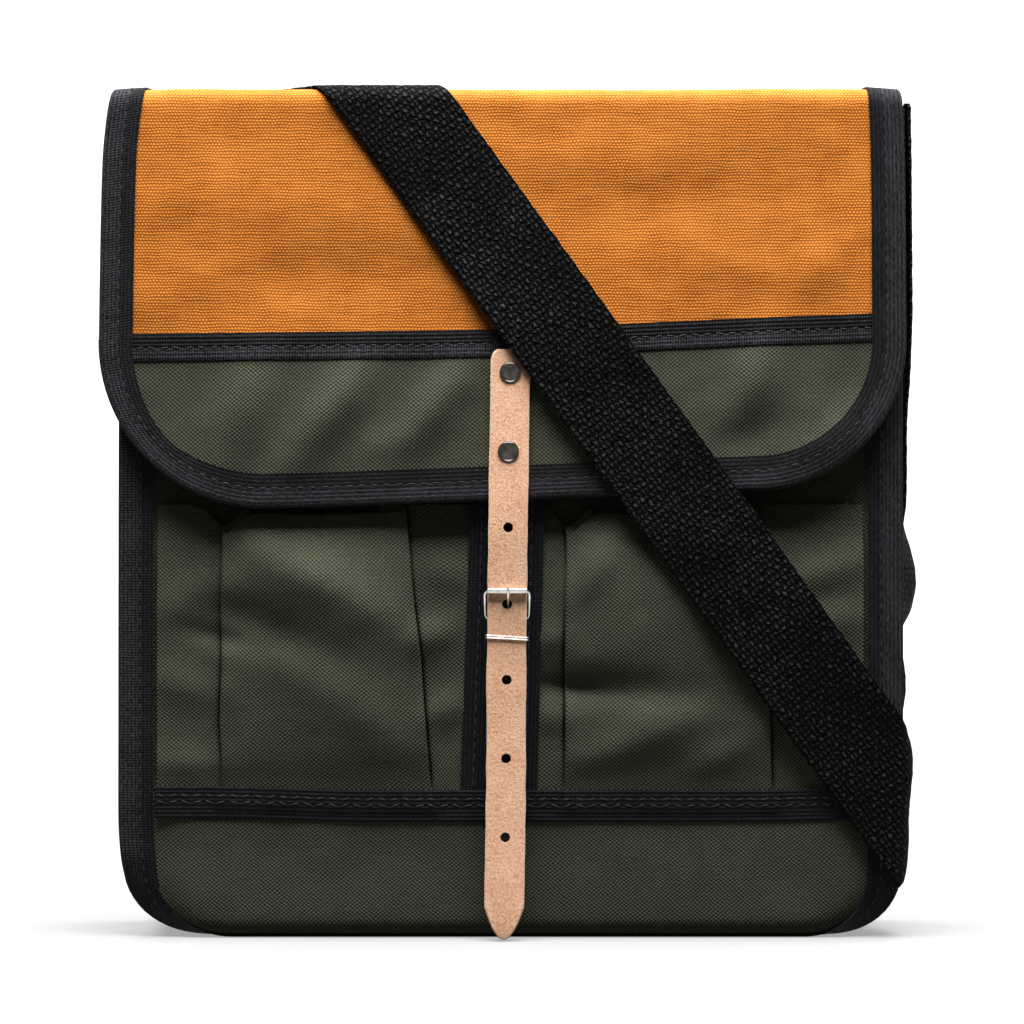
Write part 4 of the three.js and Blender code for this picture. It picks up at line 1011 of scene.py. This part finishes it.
def flap_upper():
    share = np.linspace(0, 1, 40)[1:]
    front = FLAP_FRONT_RUN + share * (flap_run(FLAP_JOINT_HEIGHT) - FLAP_FRONT_RUN)
    run = np.concatenate([steps(0, FLAP_FRONT_RUN, 2.5), front])
    u = np.linspace(1, 0, 130)[:, None]
    x = lerp(read(FLAP_LEFT, run) + FLAP_INSET, read(FLAP_RIGHT, run) - FLAP_INSET, u)
    down = np.concatenate([np.zeros(len(run) - len(share)), share])
    end = flap_run(read(FLAP_SEAM, x) + GAP / 2)
    run = np.where(down > 0, FLAP_FRONT_RUN + down * (end - FLAP_FRONT_RUN), run[None, :])
    shape = wall(flap_spot(x, run, 0.0), CLOTH)
    return add("flap_upper", shape, ORANGE, ["flap_upper"], flat_spots(x, -run))


def flap_lower():
    share = 1 - (1 - np.linspace(0, 1, 34)) ** 1.6
    above = (1 - share) * (read(FLAP_SEAM, 0) - read(FLAP_HEM, 0) - FLAP_INSET) + FLAP_INSET

    def bite(radius):
        drop = np.clip((radius - above) / (radius - FLAP_INSET), 0, 1)
        return FLAP_INSET + (radius - FLAP_INSET) * (1 - np.sqrt(1 - drop * drop))

    left = read(FLAP_LEFT, 300) + bite(FLAP_CORNER_LEFT)
    right = read(FLAP_RIGHT, 300) - bite(FLAP_CORNER_RIGHT)
    x = lerp(left, right, np.linspace(1, 0, 130)[:, None])
    z = lerp(read(FLAP_SEAM, x) - GAP / 2, read(FLAP_HEM, x) + FLAP_INSET, share)
    shape = wall(flap_spot(x, flap_run(z), 0.0), CLOTH)
    return add("flap_lower", shape, OLIVE, ["flap_lower"], flat_spots(x, z))


def flap_seam_tape():
    """Folded tape over the joint: a ribbed upper half, a sunk stitch line and a cross-ribbed lower half."""
    lift = CLOTH / 2 + 0.55
    inset = FLAP_BINDING - 0.8
    x = steps(read(FLAP_RIGHT, 270) - inset, read(FLAP_LEFT, 270) + inset, 0.5)[:, None]
    half = SEAM_TAPE_WIDTH / 2
    up = steps(half, -half, 0.36)[None, :]
    points = flap_spot(x, flap_run(read(FLAP_SEAM, x) + up), lift)
    upper = smooth(up, -0.4, 0.6)
    groove = -0.28 * np.exp(-((up + SEAM_STITCH) / 0.9) ** 2)
    edge = -0.3 * smooth(np.abs(up), half - 0.8, half)
    relief = upper * ribs(half - up, TAPE_RIB, 0.12) + (1 - upper) * ribs(x, 1.5, 0.1) + groove + edge
    tape = add(
        "flap_seam_tape", wall(points, SEAM_TAPE, relief), BLACK, ["flap_seam_tape"],
        flat_spots(x, half - up), sharp=75,
    )
    place = lambda height: flap_spot(x[::6], flap_run(read(FLAP_SEAM, x[::6]) - SEAM_STITCH), height)
    return tape, sew("flap_seam_stitching", place(lift + 0.15), place(0.0), 63, slant=0.16)


# Pockets and their tapes


def round_corners(points, times):
    """Cuts the corners of lines that run along the first axis."""
    for _ in range(times):
        near = 0.75 * points[:-1] + 0.25 * points[1:]
        far = 0.25 * points[:-1] + 0.75 * points[1:]
        middle = np.stack([near, far], 1).reshape(-1, *points.shape[1:])
        points = np.concatenate([points[:1], middle, points[-1:]])
    return points


def pocket(name, seed):
    start, face_from, face_to, end = POCKETS[name]
    z = steps(POCKET_FOOT, POCKET_MOUTH, 1.7)
    share = (POCKET_MOUTH - z) / (POCKET_MOUTH - POCKET_FOOT)
    at = lambda line: lerp(line[0], line[1], share)
    low = POCKET_LIFT + 0 * z
    layer = lerp(1.15, PLEAT_LAYER, smooth(z, 66, 92))
    layer = layer + PLEAT_OPEN * smooth(z, 72, 105) * (1 - smooth(z, 165, 195))
    depth = SLIT_DEPTH * smooth(z, 67, 75)
    inner = low + layer
    top = inner + layer
    rise = read(POCKET_CROWN, z)

    def pleat(edge, side):
        return [
            (edge + side * (PLEAT_DEPTH - PLEAT_ROUND), low),
            (edge + side * PLEAT_DEPTH, low + layer / 2),
            (edge + side * (PLEAT_DEPTH - PLEAT_ROUND), inner),
            (edge + side * PLEAT_ROUND, inner),
            (edge, inner + layer / 2),
            (edge + side * PLEAT_ROUND, top),
        ]

    edges = [at(line) + 0.7 * ripple(z, 0 * z, 26, seed + k) for k, line in ((2, face_from), (3, face_to))]
    slits = [depth * np.clip(0.6 + 1.2 * ripple(z, 0 * z, 34, seed + k), 0.12, 1) for k in (4, 5)]
    face = [
        (lerp(edges[0], edges[1], t), top + rise * (1 - (2 * t - 1) ** 2))
        for t in np.linspace(0, 1, 22)[1:-1]
    ]
    lines = [
        *((lerp(at(start), edges[0] - STRIP_END, t), low) for t in np.linspace(0, 1, 8)),
        *((edges[0] + out, low - slits[0] * deep) for out, deep in DIVE),
        *pleat(edges[0], 1), *face, *pleat(edges[1], -1)[::-1],
        *((edges[1] - out, low - slits[1] * deep) for out, deep in DIVE[::-1]),
        *((lerp(edges[1] + STRIP_END, at(end), t), low) for t in np.linspace(0, 1, 8)),
    ]
    line = round_corners(np.array(lines), 2)
    x = line[:, 0]
    lift = line[:, 1]
    proud = smooth(lift, POCKET_LIFT + PLEAT_LAYER, POCKET_LIFT + 3 * PLEAT_LAYER)
    lift = lift - MOUTH_TUCK * smooth(z, 160, 200)
    corner = np.exp(-((x[:, -1:] - face_from[0] - 1) / 8) ** 2)
    sag = MOUTH_SAG * corner - MOUTH_RISE * (1 - proud[:, -1:])
    heights = POCKET_FOOT + (z - POCKET_FOOT) * (1 - sag)
    wave = proud * (0.7 * ripple(x, heights, 34, seed) + 0.3 * ripple(x, heights, 13, seed + 1))
    wave = smooth(heights, 68, 88) * (wave + 1.6 * fold_lift(POCKET_FOLDS, x, heights))
    points = spot(x, panel_y(-1, x, heights) - lift - wave, heights)
    across = run_along(points)
    row = np.searchsorted(z, WEAVE_HEIGHT)
    flat = flat_spots(across[:, row:row + 1], heights)
    piece = add(name, wall(points, POCKET_CLOTH), OLIVE, [name], flat)
    return piece, across.max()


def tape_strip(name, points, along, across, relief):
    shape = wall(points, TAPE, relief)
    return add(name, shape, DULL_BLACK, [name], flat_spots(along, across), sharp=75)


def pocket_divider():
    z = steps(DIVIDER_FOOT, DIVIDER_TOP, 1.5)[None, :]
    left = read(DIVIDER_LEFT, z)
    right = read(DIVIDER_RIGHT, z)
    x = lerp(left, right, np.linspace(0, 1, 100)[:, None])
    z = np.broadcast_to(z, x.shape)
    points = spot(x, panel_y(-1, x, z) - DIVIDER_LIFT, z)
    inward = np.minimum(x - left, right - x)
    relief = ribs(inward, TAPE_RIB, 0.1) - 0.3 * (1 - smooth(inward, 0, 0.8))
    tape = tape_strip("pocket_divider", points, z, inward, relief)
    rows = []
    heights = steps(DIVIDER_FOOT + 4, DIVIDER_TOP - 2, 4)
    for edge, side, seed in ((DIVIDER_LEFT, 1, 71), (DIVIDER_RIGHT, -1, 72)):
        line = read(edge, heights) + side * DIVIDER_STITCH
        path = spot(line, panel_y(-1, line, heights) - DIVIDER_LIFT - TAPE / 2, heights)
        rows.append(stitch_row(path, (0, -1, 0), seed))
    return tape, add("divider_stitching", join(rows), THREAD)


def base_tape():
    reach = BODY_HALF_WIDTH - FLANGE - BASE_TAPE_INSET
    start = BODY_CENTRE_X - reach
    end = BODY_CENTRE_X + reach
    strip_lift = DIVIDER_LIFT + TAPE + GAP

    def over_face(x):
        most = 0
        for _, (_, left), (_, right), _ in POCKETS.values():
            inside = np.minimum(smooth(x, left - 6, left - 1), smooth(-x, -right - 6, -right - 1))
            most = np.maximum(most, inside)
        return most

    def place(x, z):
        upper = lerp(strip_lift, BASE_TAPE_FACE_LIFT, over_face(x))
        lift = lerp(BASE_TAPE_FOOT_LIFT, upper, read(BASE_TAPE_RISE, z))
        sag = BASE_TAPE_SAG * smooth(x, -140, -60) - BASE_TAPE_END_RISE * smooth(x, 110, 160)
        return spot(x, panel_y(-1, x, z) - lift, z - sag)

    x = steps(start, end, 0.9)[:, None]
    z = steps(BASE_TAPE_FOOT, BASE_TAPE_TOP, 0.4)[None, :]
    middle = (BASE_TAPE_FOOT + BASE_TAPE_TOP) / 2
    half = (BASE_TAPE_TOP - BASE_TAPE_FOOT) / 2
    edge = -0.35 * smooth(np.abs(z - middle), half - 0.8, half)
    relief = ribs(z, TAPE_RIB, 0.12) + edge + 0.1 * ripple(x, z, 8, 75)
    tape = tape_strip("pocket_base_tape", place(x, z), x, z, relief)
    rows = []
    for height, seed in BASE_TAPE_STITCHES.items():
        line = place(steps(start, end, 2), height)
        rows.append(stitch_row(line - (0, TAPE / 2, 0), (0, -1, 0), seed, slant=0.25))
    return tape, add("base_tape_stitching", join(rows), THREAD)


# Leather strap, rivets and buckle


def rounded_box(half_width, half_depth, corner, count=5):
    """Ring of points round a rounded rectangle, anticlockwise."""
    points = []
    for sx, sy, turn in ((1, -1, -0.5), (1, 1, 0), (-1, 1, 0.5), (-1, -1, 1)):
        for angle in np.linspace(turn, turn + 0.5, count) * np.pi:
            points.append((
                sx * (half_width - corner) + corner * np.cos(angle),
                sy * (half_depth - corner) + corner * np.sin(angle),
            ))
    return np.array(points)


def closure_strap():
    z = np.concatenate([
        STRAP_TIP_Z + STRAP_POINT * np.linspace(0, 1, 18) ** 2,
        steps(STRAP_TIP_Z + STRAP_POINT, STRAP_TOP_Z - STRAP_ROUND, 3)[1:],
        STRAP_TOP_Z - STRAP_ROUND * (1 - np.sin(np.linspace(0, np.pi / 2, 9)))[1:],
    ])
    tip = np.clip((z - STRAP_TIP_Z) / STRAP_POINT, 0, 1)
    end = np.clip((STRAP_TOP_Z - z) / STRAP_ROUND, 0, 1)
    half = STRAP_WIDTH / 2 * (0.06 + 0.94 * tip ** 0.52) * (0.62 + 0.38 * np.sqrt(1 - (1 - end) ** 2))
    half = half + 0.18 * ripple(z, 0, 9, 81) * tip
    middle = read(STRAP_X, z) + 0.25 * ripple(z, 9, 40, 82)
    depth = read(STRAP_Y, z)
    ring = np.array([rounded_box(max(width, 1.0), LEATHER / 2, 0.95) for width in half])
    points = spot(middle[:, None] + ring[..., 0], depth[:, None] + ring[..., 1], z[:, None])
    shape = rings(points[:, ::-1])
    strap = add("closure_strap", shape, TAN, ["closure_strap"], sharp=50)
    strap.data.materials.append(TAN_EDGE)
    for face in strap.data.polygons:
        if abs(face.normal.y) < 0.96:
            face.material_index = 1
    for height in HOLE_HEIGHTS:
        drill(strap, float(read(STRAP_X, height)), float(read(STRAP_Y, height)), height, HOLE_RADIUS)


def drill(piece, x, y, z, radius):
    """Punches a round hole along the depth of the bag."""
    cutter = bpy.data.meshes.new("punch")
    shape = bmesh.new()
    bmesh.ops.create_cone(
        shape, cap_ends=True, segments=28, radius1=radius * MM, radius2=radius * MM,
        depth=PUNCH_LENGTH * MM,
    )
    bmesh.ops.rotate(shape, verts=shape.verts, matrix=Matrix.Rotation(math.pi / 2, 3, "X"))
    bmesh.ops.translate(shape, verts=shape.verts, vec=Vector((x, y + DEPTH_SHIFT, z)) * MM)
    shape.to_mesh(cutter)
    shape.free()
    cutter.materials.append(TAN_EDGE)
    punch = bpy.data.objects.new("punch", cutter)
    bpy.context.scene.collection.objects.link(punch)
    cut = piece.modifiers.new("hole", "BOOLEAN")
    cut.operation = "DIFFERENCE"
    cut.object = punch
    cut.solver = "EXACT"
    view = bpy.context.evaluated_depsgraph_get()
    made = bpy.data.meshes.new_from_object(piece.evaluated_get(view))
    piece.modifiers.remove(cut)
    piece.data = made
    bpy.data.objects.remove(punch)
    bpy.data.meshes.remove(cutter)


def rivet(name):
    x, z = RIVETS[name]
    face = float(read(STRAP_Y, z)) - LEATHER / 2 - 0.1
    lean = math.atan(FLAP_LEAN)
    shape = lathe(RIVET_PROFILE, np.array([x, face, z]), (0, -math.cos(lean), -math.sin(lean)))
    add(name, shape, DARK_NICKEL, [name], sharp=40)


def nickel(name, shape):
    add(name, shape, NICKEL, [name])


def buckle():
    heel = np.array(BUCKLE_HEEL)
    bar = np.array(BUCKLE_BAR)
    length = np.linalg.norm(bar - heel)
    rise = (bar - heel) / length
    across, along = rounded_box(BUCKLE_HALF, length / 2, BUCKLE_CORNER, 9).T
    along = along + length / 2
    y, z = (heel + rise * along[:, None]).T
    outline = spot(BUCKLE_X + across * (0.95 + 0.05 * along / length), y, z)
    x = BUCKLE_X + np.array([-1, -0.985, -0.97, 0.97, 0.985, 1]) * ROLLER_HALF
    radius = ROLLER_RADIUS * np.array([0.8, 0.95, 1, 1, 0.95, 0.8])
    path = round_corners(np.array([(BUCKLE_X + 0.5, y, z) for y, z in TONGUE_PATH]), 2)
    taper = TONGUE_RADIUS * np.linspace(0.7, 1, len(path))
    nickel("buckle_frame", tube(outline, BUCKLE_WIRE, (0, -rise[1], rise[0]), closed=True))
    nickel("buckle_roller", tube(spot(x, *bar), radius, (0, 0, 1), sides=24))
    nickel("buckle_tongue", tube(path, taper, (1, 0, 0)))


def keeper():
    """Two turns of wire round the strap, a little askew."""
    depth = (KEEPER_BACK_Y - KEEPER_FRONT_Y) / 2
    middle = (KEEPER_BACK_Y + KEEPER_FRONT_Y) / 2
    across, deep = rounded_box(KEEPER_HALF, depth, 1, 6).T
    loops = []
    for height in (KEEPER_STEP, -KEEPER_STEP):
        path = spot(BUCKLE_X + across, middle + deep, KEEPER_Z + height - KEEPER_SLOPE * across)
        loops.append(tube(path, KEEPER_WIRE, (0, 0, 1), sides=10, closed=True))
    nickel("keeper_loop", join(loops))


def buckle_tab():
    line = round_corners(np.array([(0, y, z) for y, z in TAB_PATH], float), 2)
    x = BUCKLE_X + np.linspace(TAB_WIDTH / 2, -TAB_WIDTH / 2, 40)[:, None]
    points = spot(x, line[None, :, 1], line[None, :, 2])
    along = np.broadcast_to(run_along(line[:, None]).T, points.shape[:2])
    relief = ribs(x, TAPE_RIB, 0.1)
    shape = wall(points, TAB_TAPE, relief, relief)
    add("buckle_chape", shape, DULL_BLACK, ["buckle_chape"], flat_spots(along, x), sharp=75)


# Shoulder strap


def unit(vector):
    return vector / np.linalg.norm(vector)


WEB_DOWN = unit(WEB_FOLD - WEB_TOP)
WEB_SIDE_RUN = float(np.linalg.norm(WEB_FOLD - WEB_TOP))
WEB_CREASE = unit(-WEB_DOWN - WEB_RISE)
WEB_OUT = np.array([WEB_CREASE[1], -WEB_CREASE[0]])
WEB_ACROSS = np.array([-WEB_DOWN[1], WEB_DOWN[0]])
WEB_SLANT = -float(WEB_ACROSS @ WEB_OUT) / float(WEB_DOWN @ WEB_OUT)


def bend(past):
    """A ribbon bent flat back on itself: its shift along the layout and its rise."""
    half = WEB_FOLD_RADIUS * math.pi / 2
    angle = np.clip((past + half) / WEB_FOLD_RADIUS, 0, math.pi)
    turned = -half + WEB_FOLD_RADIUS * np.sin(angle) - np.maximum(past - half, 0)
    reach = np.where(past <= -half, past, turned)
    return reach - past, WEB_FOLD_RADIUS * (1 - np.cos(angle))


def web_over_top(across, up):
    """The ribbon past the front: over the top, down the back and round the back's left edge."""
    front_y = flap_profile(flap_run(WEB_TOP_START))[0] - WEB_OVER_FLAP + WEB_TOP_RADIUS
    flat = WEB_TOP_BACK_Y - front_y
    past = up - WEB_TOP_START
    roll = np.clip(past / WEB_TOP_RADIUS, 0, math.pi / 2)
    past = past - WEB_TOP_RADIUS * math.pi / 2
    level = np.clip(past, 0, flat)
    past = past - flat
    drop = np.clip(past / WEB_BACK_RADIUS, 0, math.pi / 2)
    fall = np.maximum(past - WEB_BACK_RADIUS * math.pi / 2, 0)
    y = front_y - WEB_TOP_RADIUS * np.cos(roll) + level + WEB_BACK_RADIUS * np.sin(drop)
    z = WEB_TOP_Z - WEB_TOP_RADIUS * (1 - np.sin(roll)) - WEB_BACK_RADIUS * (1 - np.cos(drop)) - fall
    beyond = np.where(fall > 0, np.maximum(WEB_LEFT_X + WEB_LEFT_RADIUS - across, 0), 0)
    angle = np.minimum(beyond / WEB_LEFT_RADIUS, math.pi / 2)
    rest = np.maximum(beyond - WEB_LEFT_RADIUS * math.pi / 2, 0)
    round_x = WEB_LEFT_X + WEB_LEFT_RADIUS * (1 - np.sin(angle)) + WEB_LEFT_RECESS * smooth(rest, 0, 30)
    x = np.where(beyond > 0, round_x, across)
    return spot(x, y - WEB_LEFT_RADIUS * (1 - np.cos(angle)) - rest, z)


def web_spot(run, w):
    """A spot of the ribbon: `run` along it from the end of its folded tail, `w` across it."""
    past = run - WEB_TAIL
    shift, tail_rise = bend(-past)
    along = past - shift
    across = WEB_TOP[0] + WEB_DOWN[0] * along + WEB_ACROSS[0] * w
    up = WEB_TOP[1] + WEB_DOWN[1] * along + WEB_ACROSS[1] * w
    over = (across - WEB_FOLD[0]) * WEB_OUT[0] + (up - WEB_FOLD[1]) * WEB_OUT[1]
    shift, rise = bend(over)
    across = across + WEB_OUT[0] * shift
    up = up + WEB_OUT[1] * shift
    over_top = (rise > 1) & (up > WEB_TOP_START)
    top = web_over_top(across, up)
    across = across + np.where(rise < 1, WEB_SWING * smooth(-over, 15, 90), 0)
    lift = rise - tail_rise
    front = run - WEB_TAIL - WEB_SIDE_RUN
    base = np.where(front > 0, read(WEB_FRONT, front), WEB_EDGE_Y)
    on_flap = flap_profile(flap_run(up))[0] - WEB_OVER_FLAP + lift
    base = np.where((front > 0) & (up > 240), np.minimum(base, on_flap), base)
    edge = read(WEB_SIDE, up) + lift
    radius = WEB_CORNER_RADIUS + lift
    beyond = np.maximum(across - (edge - radius), 0)
    angle = np.minimum(beyond / radius, math.pi / 2)
    rest = np.maximum(beyond - radius * math.pi / 2, 0)
    bulge = np.exp(-((up - WEB_BULGE_Z) / WEB_BULGE_SPREAD) ** 2)
    bow = WEB_BULGE_LEAN * bulge * (1 - smooth(rest, 13, 58))
    x = np.where(beyond > 0, edge - radius + radius * np.sin(angle) - bow, across)
    y = base - lift + radius * (1 - np.cos(angle)) + rest
    return np.where(over_top[..., None], top, spot(x, y, up))


def webbing(name, start, end):
    """A length of the ribbon, a little wavy, with uneven edges."""
    fold = WEB_TAIL + WEB_SIDE_RUN
    half = WEB_WIDTH / 2
    inner = half - WEB_CORD / 2
    columns = np.concatenate([[-half, -half + 0.5], steps(-inner, inner, WEB_CORD / 2), [half - 0.5, half]])
    w, run = np.meshgrid(columns, steps(start, end, WEB_FLOAT / 2), indexing="ij")
    over_top = smooth(run, fold + 300, fold + 400) - smooth(run, fold + 600, fold + 680)
    slant = WEB_SLANT * np.exp(-((run - fold) / 45) ** 2) + WEB_RISE[0] / WEB_RISE[1] * over_top
    place = run + w * slant
    ragged = 0.22 * ripple(place, w, 2.4, 91) * smooth(np.abs(w), half - 3, half)
    points = web_spot(place, w + np.sign(w) * ragged)
    loose = smooth(run, fold + 30, fold + 80) - smooth(run, fold + 370, fold + 410)
    swell = np.maximum(0.5 + 1.1 * ripple(place, w, 27, 93) + 0.5 * ripple(place, w, 12, 94), 0)
    points = points + grid_normals(points) * (swell * loose)[..., None]
    relief = 0.15 * ripple(place, w, 2.3, 92) - 0.35 * smooth(np.abs(w), half - 0.9, half)
    shape = wall(points, WEBBING - 0.1, relief, relief)
    return add(name, shape, WEB, ["shoulder_strap"], flat_spots(place, w), sharp=None)


# Assembly


front_panel = body_panel("front_panel", -1, FRONT_HEIGHT)
back_panel = body_panel("back_panel", 1, BACK_HEIGHT)
gusset = gusset_strip()
front_trim = body_binding("front_binding", -1)
back_trim = body_binding("back_binding", 1)
upper = flap_upper()
lower = flap_lower()
flap_trim = flap_binding()
seam_trim = flap_seam_tape()
left_pocket, left_width = pocket("pocket_left", 101)
right_pocket, right_width = pocket("pocket_right", 111)
divider_trim = pocket_divider()
base_trim = base_tape()
closure_strap()
for rivet_name in RIVETS:
    rivet(rivet_name)
buckle()
keeper()
buckle_tab()
fold_run = WEB_TAIL + WEB_SIDE_RUN
web_side = webbing("shoulder_strap_side", 0, fold_run - WEB_JOIN)
web_front = webbing("shoulder_strap_front", fold_run - WEB_JOIN + 0.2, fold_run + WEB_RUN)

SEAM_RUN = float(flap_run(FLAP_SEAM_HEIGHT))
LOWER_RUN = float(flap_run(FLAP_HEM_HEIGHT)) - SEAM_RUN
left_width * MM
right_width * MM


# Stage, light and camera, in metres


FLOOR_RADIUS = 2.4
WALL_CURVE = 0.8
WALL_HEIGHT = 4.0
FLOOR_TURNS = 96
# Soft lights: name, place, spot that it faces, width, height and power.
LIGHTS = [
    ("key", (0.03, -0.5, 2.4), (0.03, -0.5, 0), 1.9, 2.0, 236),
    ("wall", (0, 0.9, 2.4), (0, 2.6, 0.6), 2.5, 0.8, 125),
    ("bounce", (0, -0.1, 0.004), (0, -0.1, 1), 0.5, 0.07, 0.025),
]
WORLD_LIGHT = 0.045
CAMERA_DISTANCE = 2.2
PICTURE_WIDTH = 0.4813
PICTURE_CENTRE = (0.003, 0.2002)
FRONT_PLANE = -0.042
SENSOR = 36


def backdrop():
    """A pale round floor that curves up into a wall and glows more away from the bag."""
    profile = [(FLOOR_RADIUS / 4 * k, 0.0) for k in range(5)]
    profile += [
        (FLOOR_RADIUS + WALL_CURVE * math.sin(angle), WALL_CURVE * (1 - math.cos(angle)))
        for angle in np.linspace(0, math.pi / 2, 12)
    ]
    profile += [(FLOOR_RADIUS + WALL_CURVE, WALL_HEIGHT)]
    count = len(profile)
    turns = [(k * math.tau / FLOOR_TURNS, k * count) for k in range(FLOOR_TURNS)]
    vertices = [(r * math.cos(angle), r * math.sin(angle), z) for angle, _ in turns for r, z in profile]
    faces = []
    for (_, here), (_, there) in zip(turns, turns[1:] + turns[:1]):
        faces += [(here + j, here + j + 1, there + j + 1, there + j) for j in range(count - 1)]
    mesh = bpy.data.meshes.new("backdrop")
    mesh.from_pydata(vertices, [], faces)
    mesh.polygons.foreach_set("use_smooth", np.ones(len(mesh.polygons), bool))
    pale = Finish("pale_floor", 0.9, Specular_IOR_Level=0.1)
    x, y, _ = pale.parts(pale.object_place())
    far = (x * x + y * y).ramp(0.5, 4.5) * (y.ramp(-0.5, 1.5) * 0.5 + 0.1) + 0.35
    pale.shader.inputs["Base Color"].default_value = (0.22, 0.22, 0.22, 1)
    pale.shader.inputs["Emission Color"].default_value = (1, 1, 1, 1)
    put(pale.tree, pale.shader.inputs["Emission Strength"], far)
    pale.material.cycles.emission_sampling = "NONE"
    mesh.materials.append(pale.material)
    floor = bpy.data.objects.new("backdrop", mesh)
    bpy.context.scene.collection.objects.link(floor)
    floor.visible_diffuse = False


def softbox(name, place, target, width, height, power):
    light = bpy.data.lights.new(name, "AREA")
    light.shape = "RECTANGLE"
    light.size = width
    light.size_y = height
    light.energy = power
    lamp = bpy.data.objects.new(name, light)
    lamp.location = place
    lamp.rotation_euler = (Vector(target) - Vector(place)).to_track_quat("-Z", "Y").to_euler()
    lamp.visible_camera = False
    bpy.context.scene.collection.objects.link(lamp)


def camera():
    lens = bpy.data.cameras.new("camera")
    lens.sensor_width = SENSOR
    lens.lens = SENSOR * CAMERA_DISTANCE / PICTURE_WIDTH
    eye = bpy.data.objects.new("camera", lens)
    eye.location = (PICTURE_CENTRE[0], FRONT_PLANE - CAMERA_DISTANCE, PICTURE_CENTRE[1])
    eye.rotation_euler = (math.pi / 2, 0, 0)
    bpy.context.scene.collection.objects.link(eye)
    bpy.context.scene.camera = eye


backdrop()
for light_row in LIGHTS:
    softbox(*light_row)
camera()
world = bpy.data.worlds.new("studio")
world.use_nodes = True
world.node_tree.nodes["Background"].inputs["Color"].default_value = (1, 1, 1, 1)
world.node_tree.nodes["Background"].inputs["Strength"].default_value = WORLD_LIGHT
bpy.context.scene.world = world
bpy.context.scene.view_settings.view_transform = "Standard"
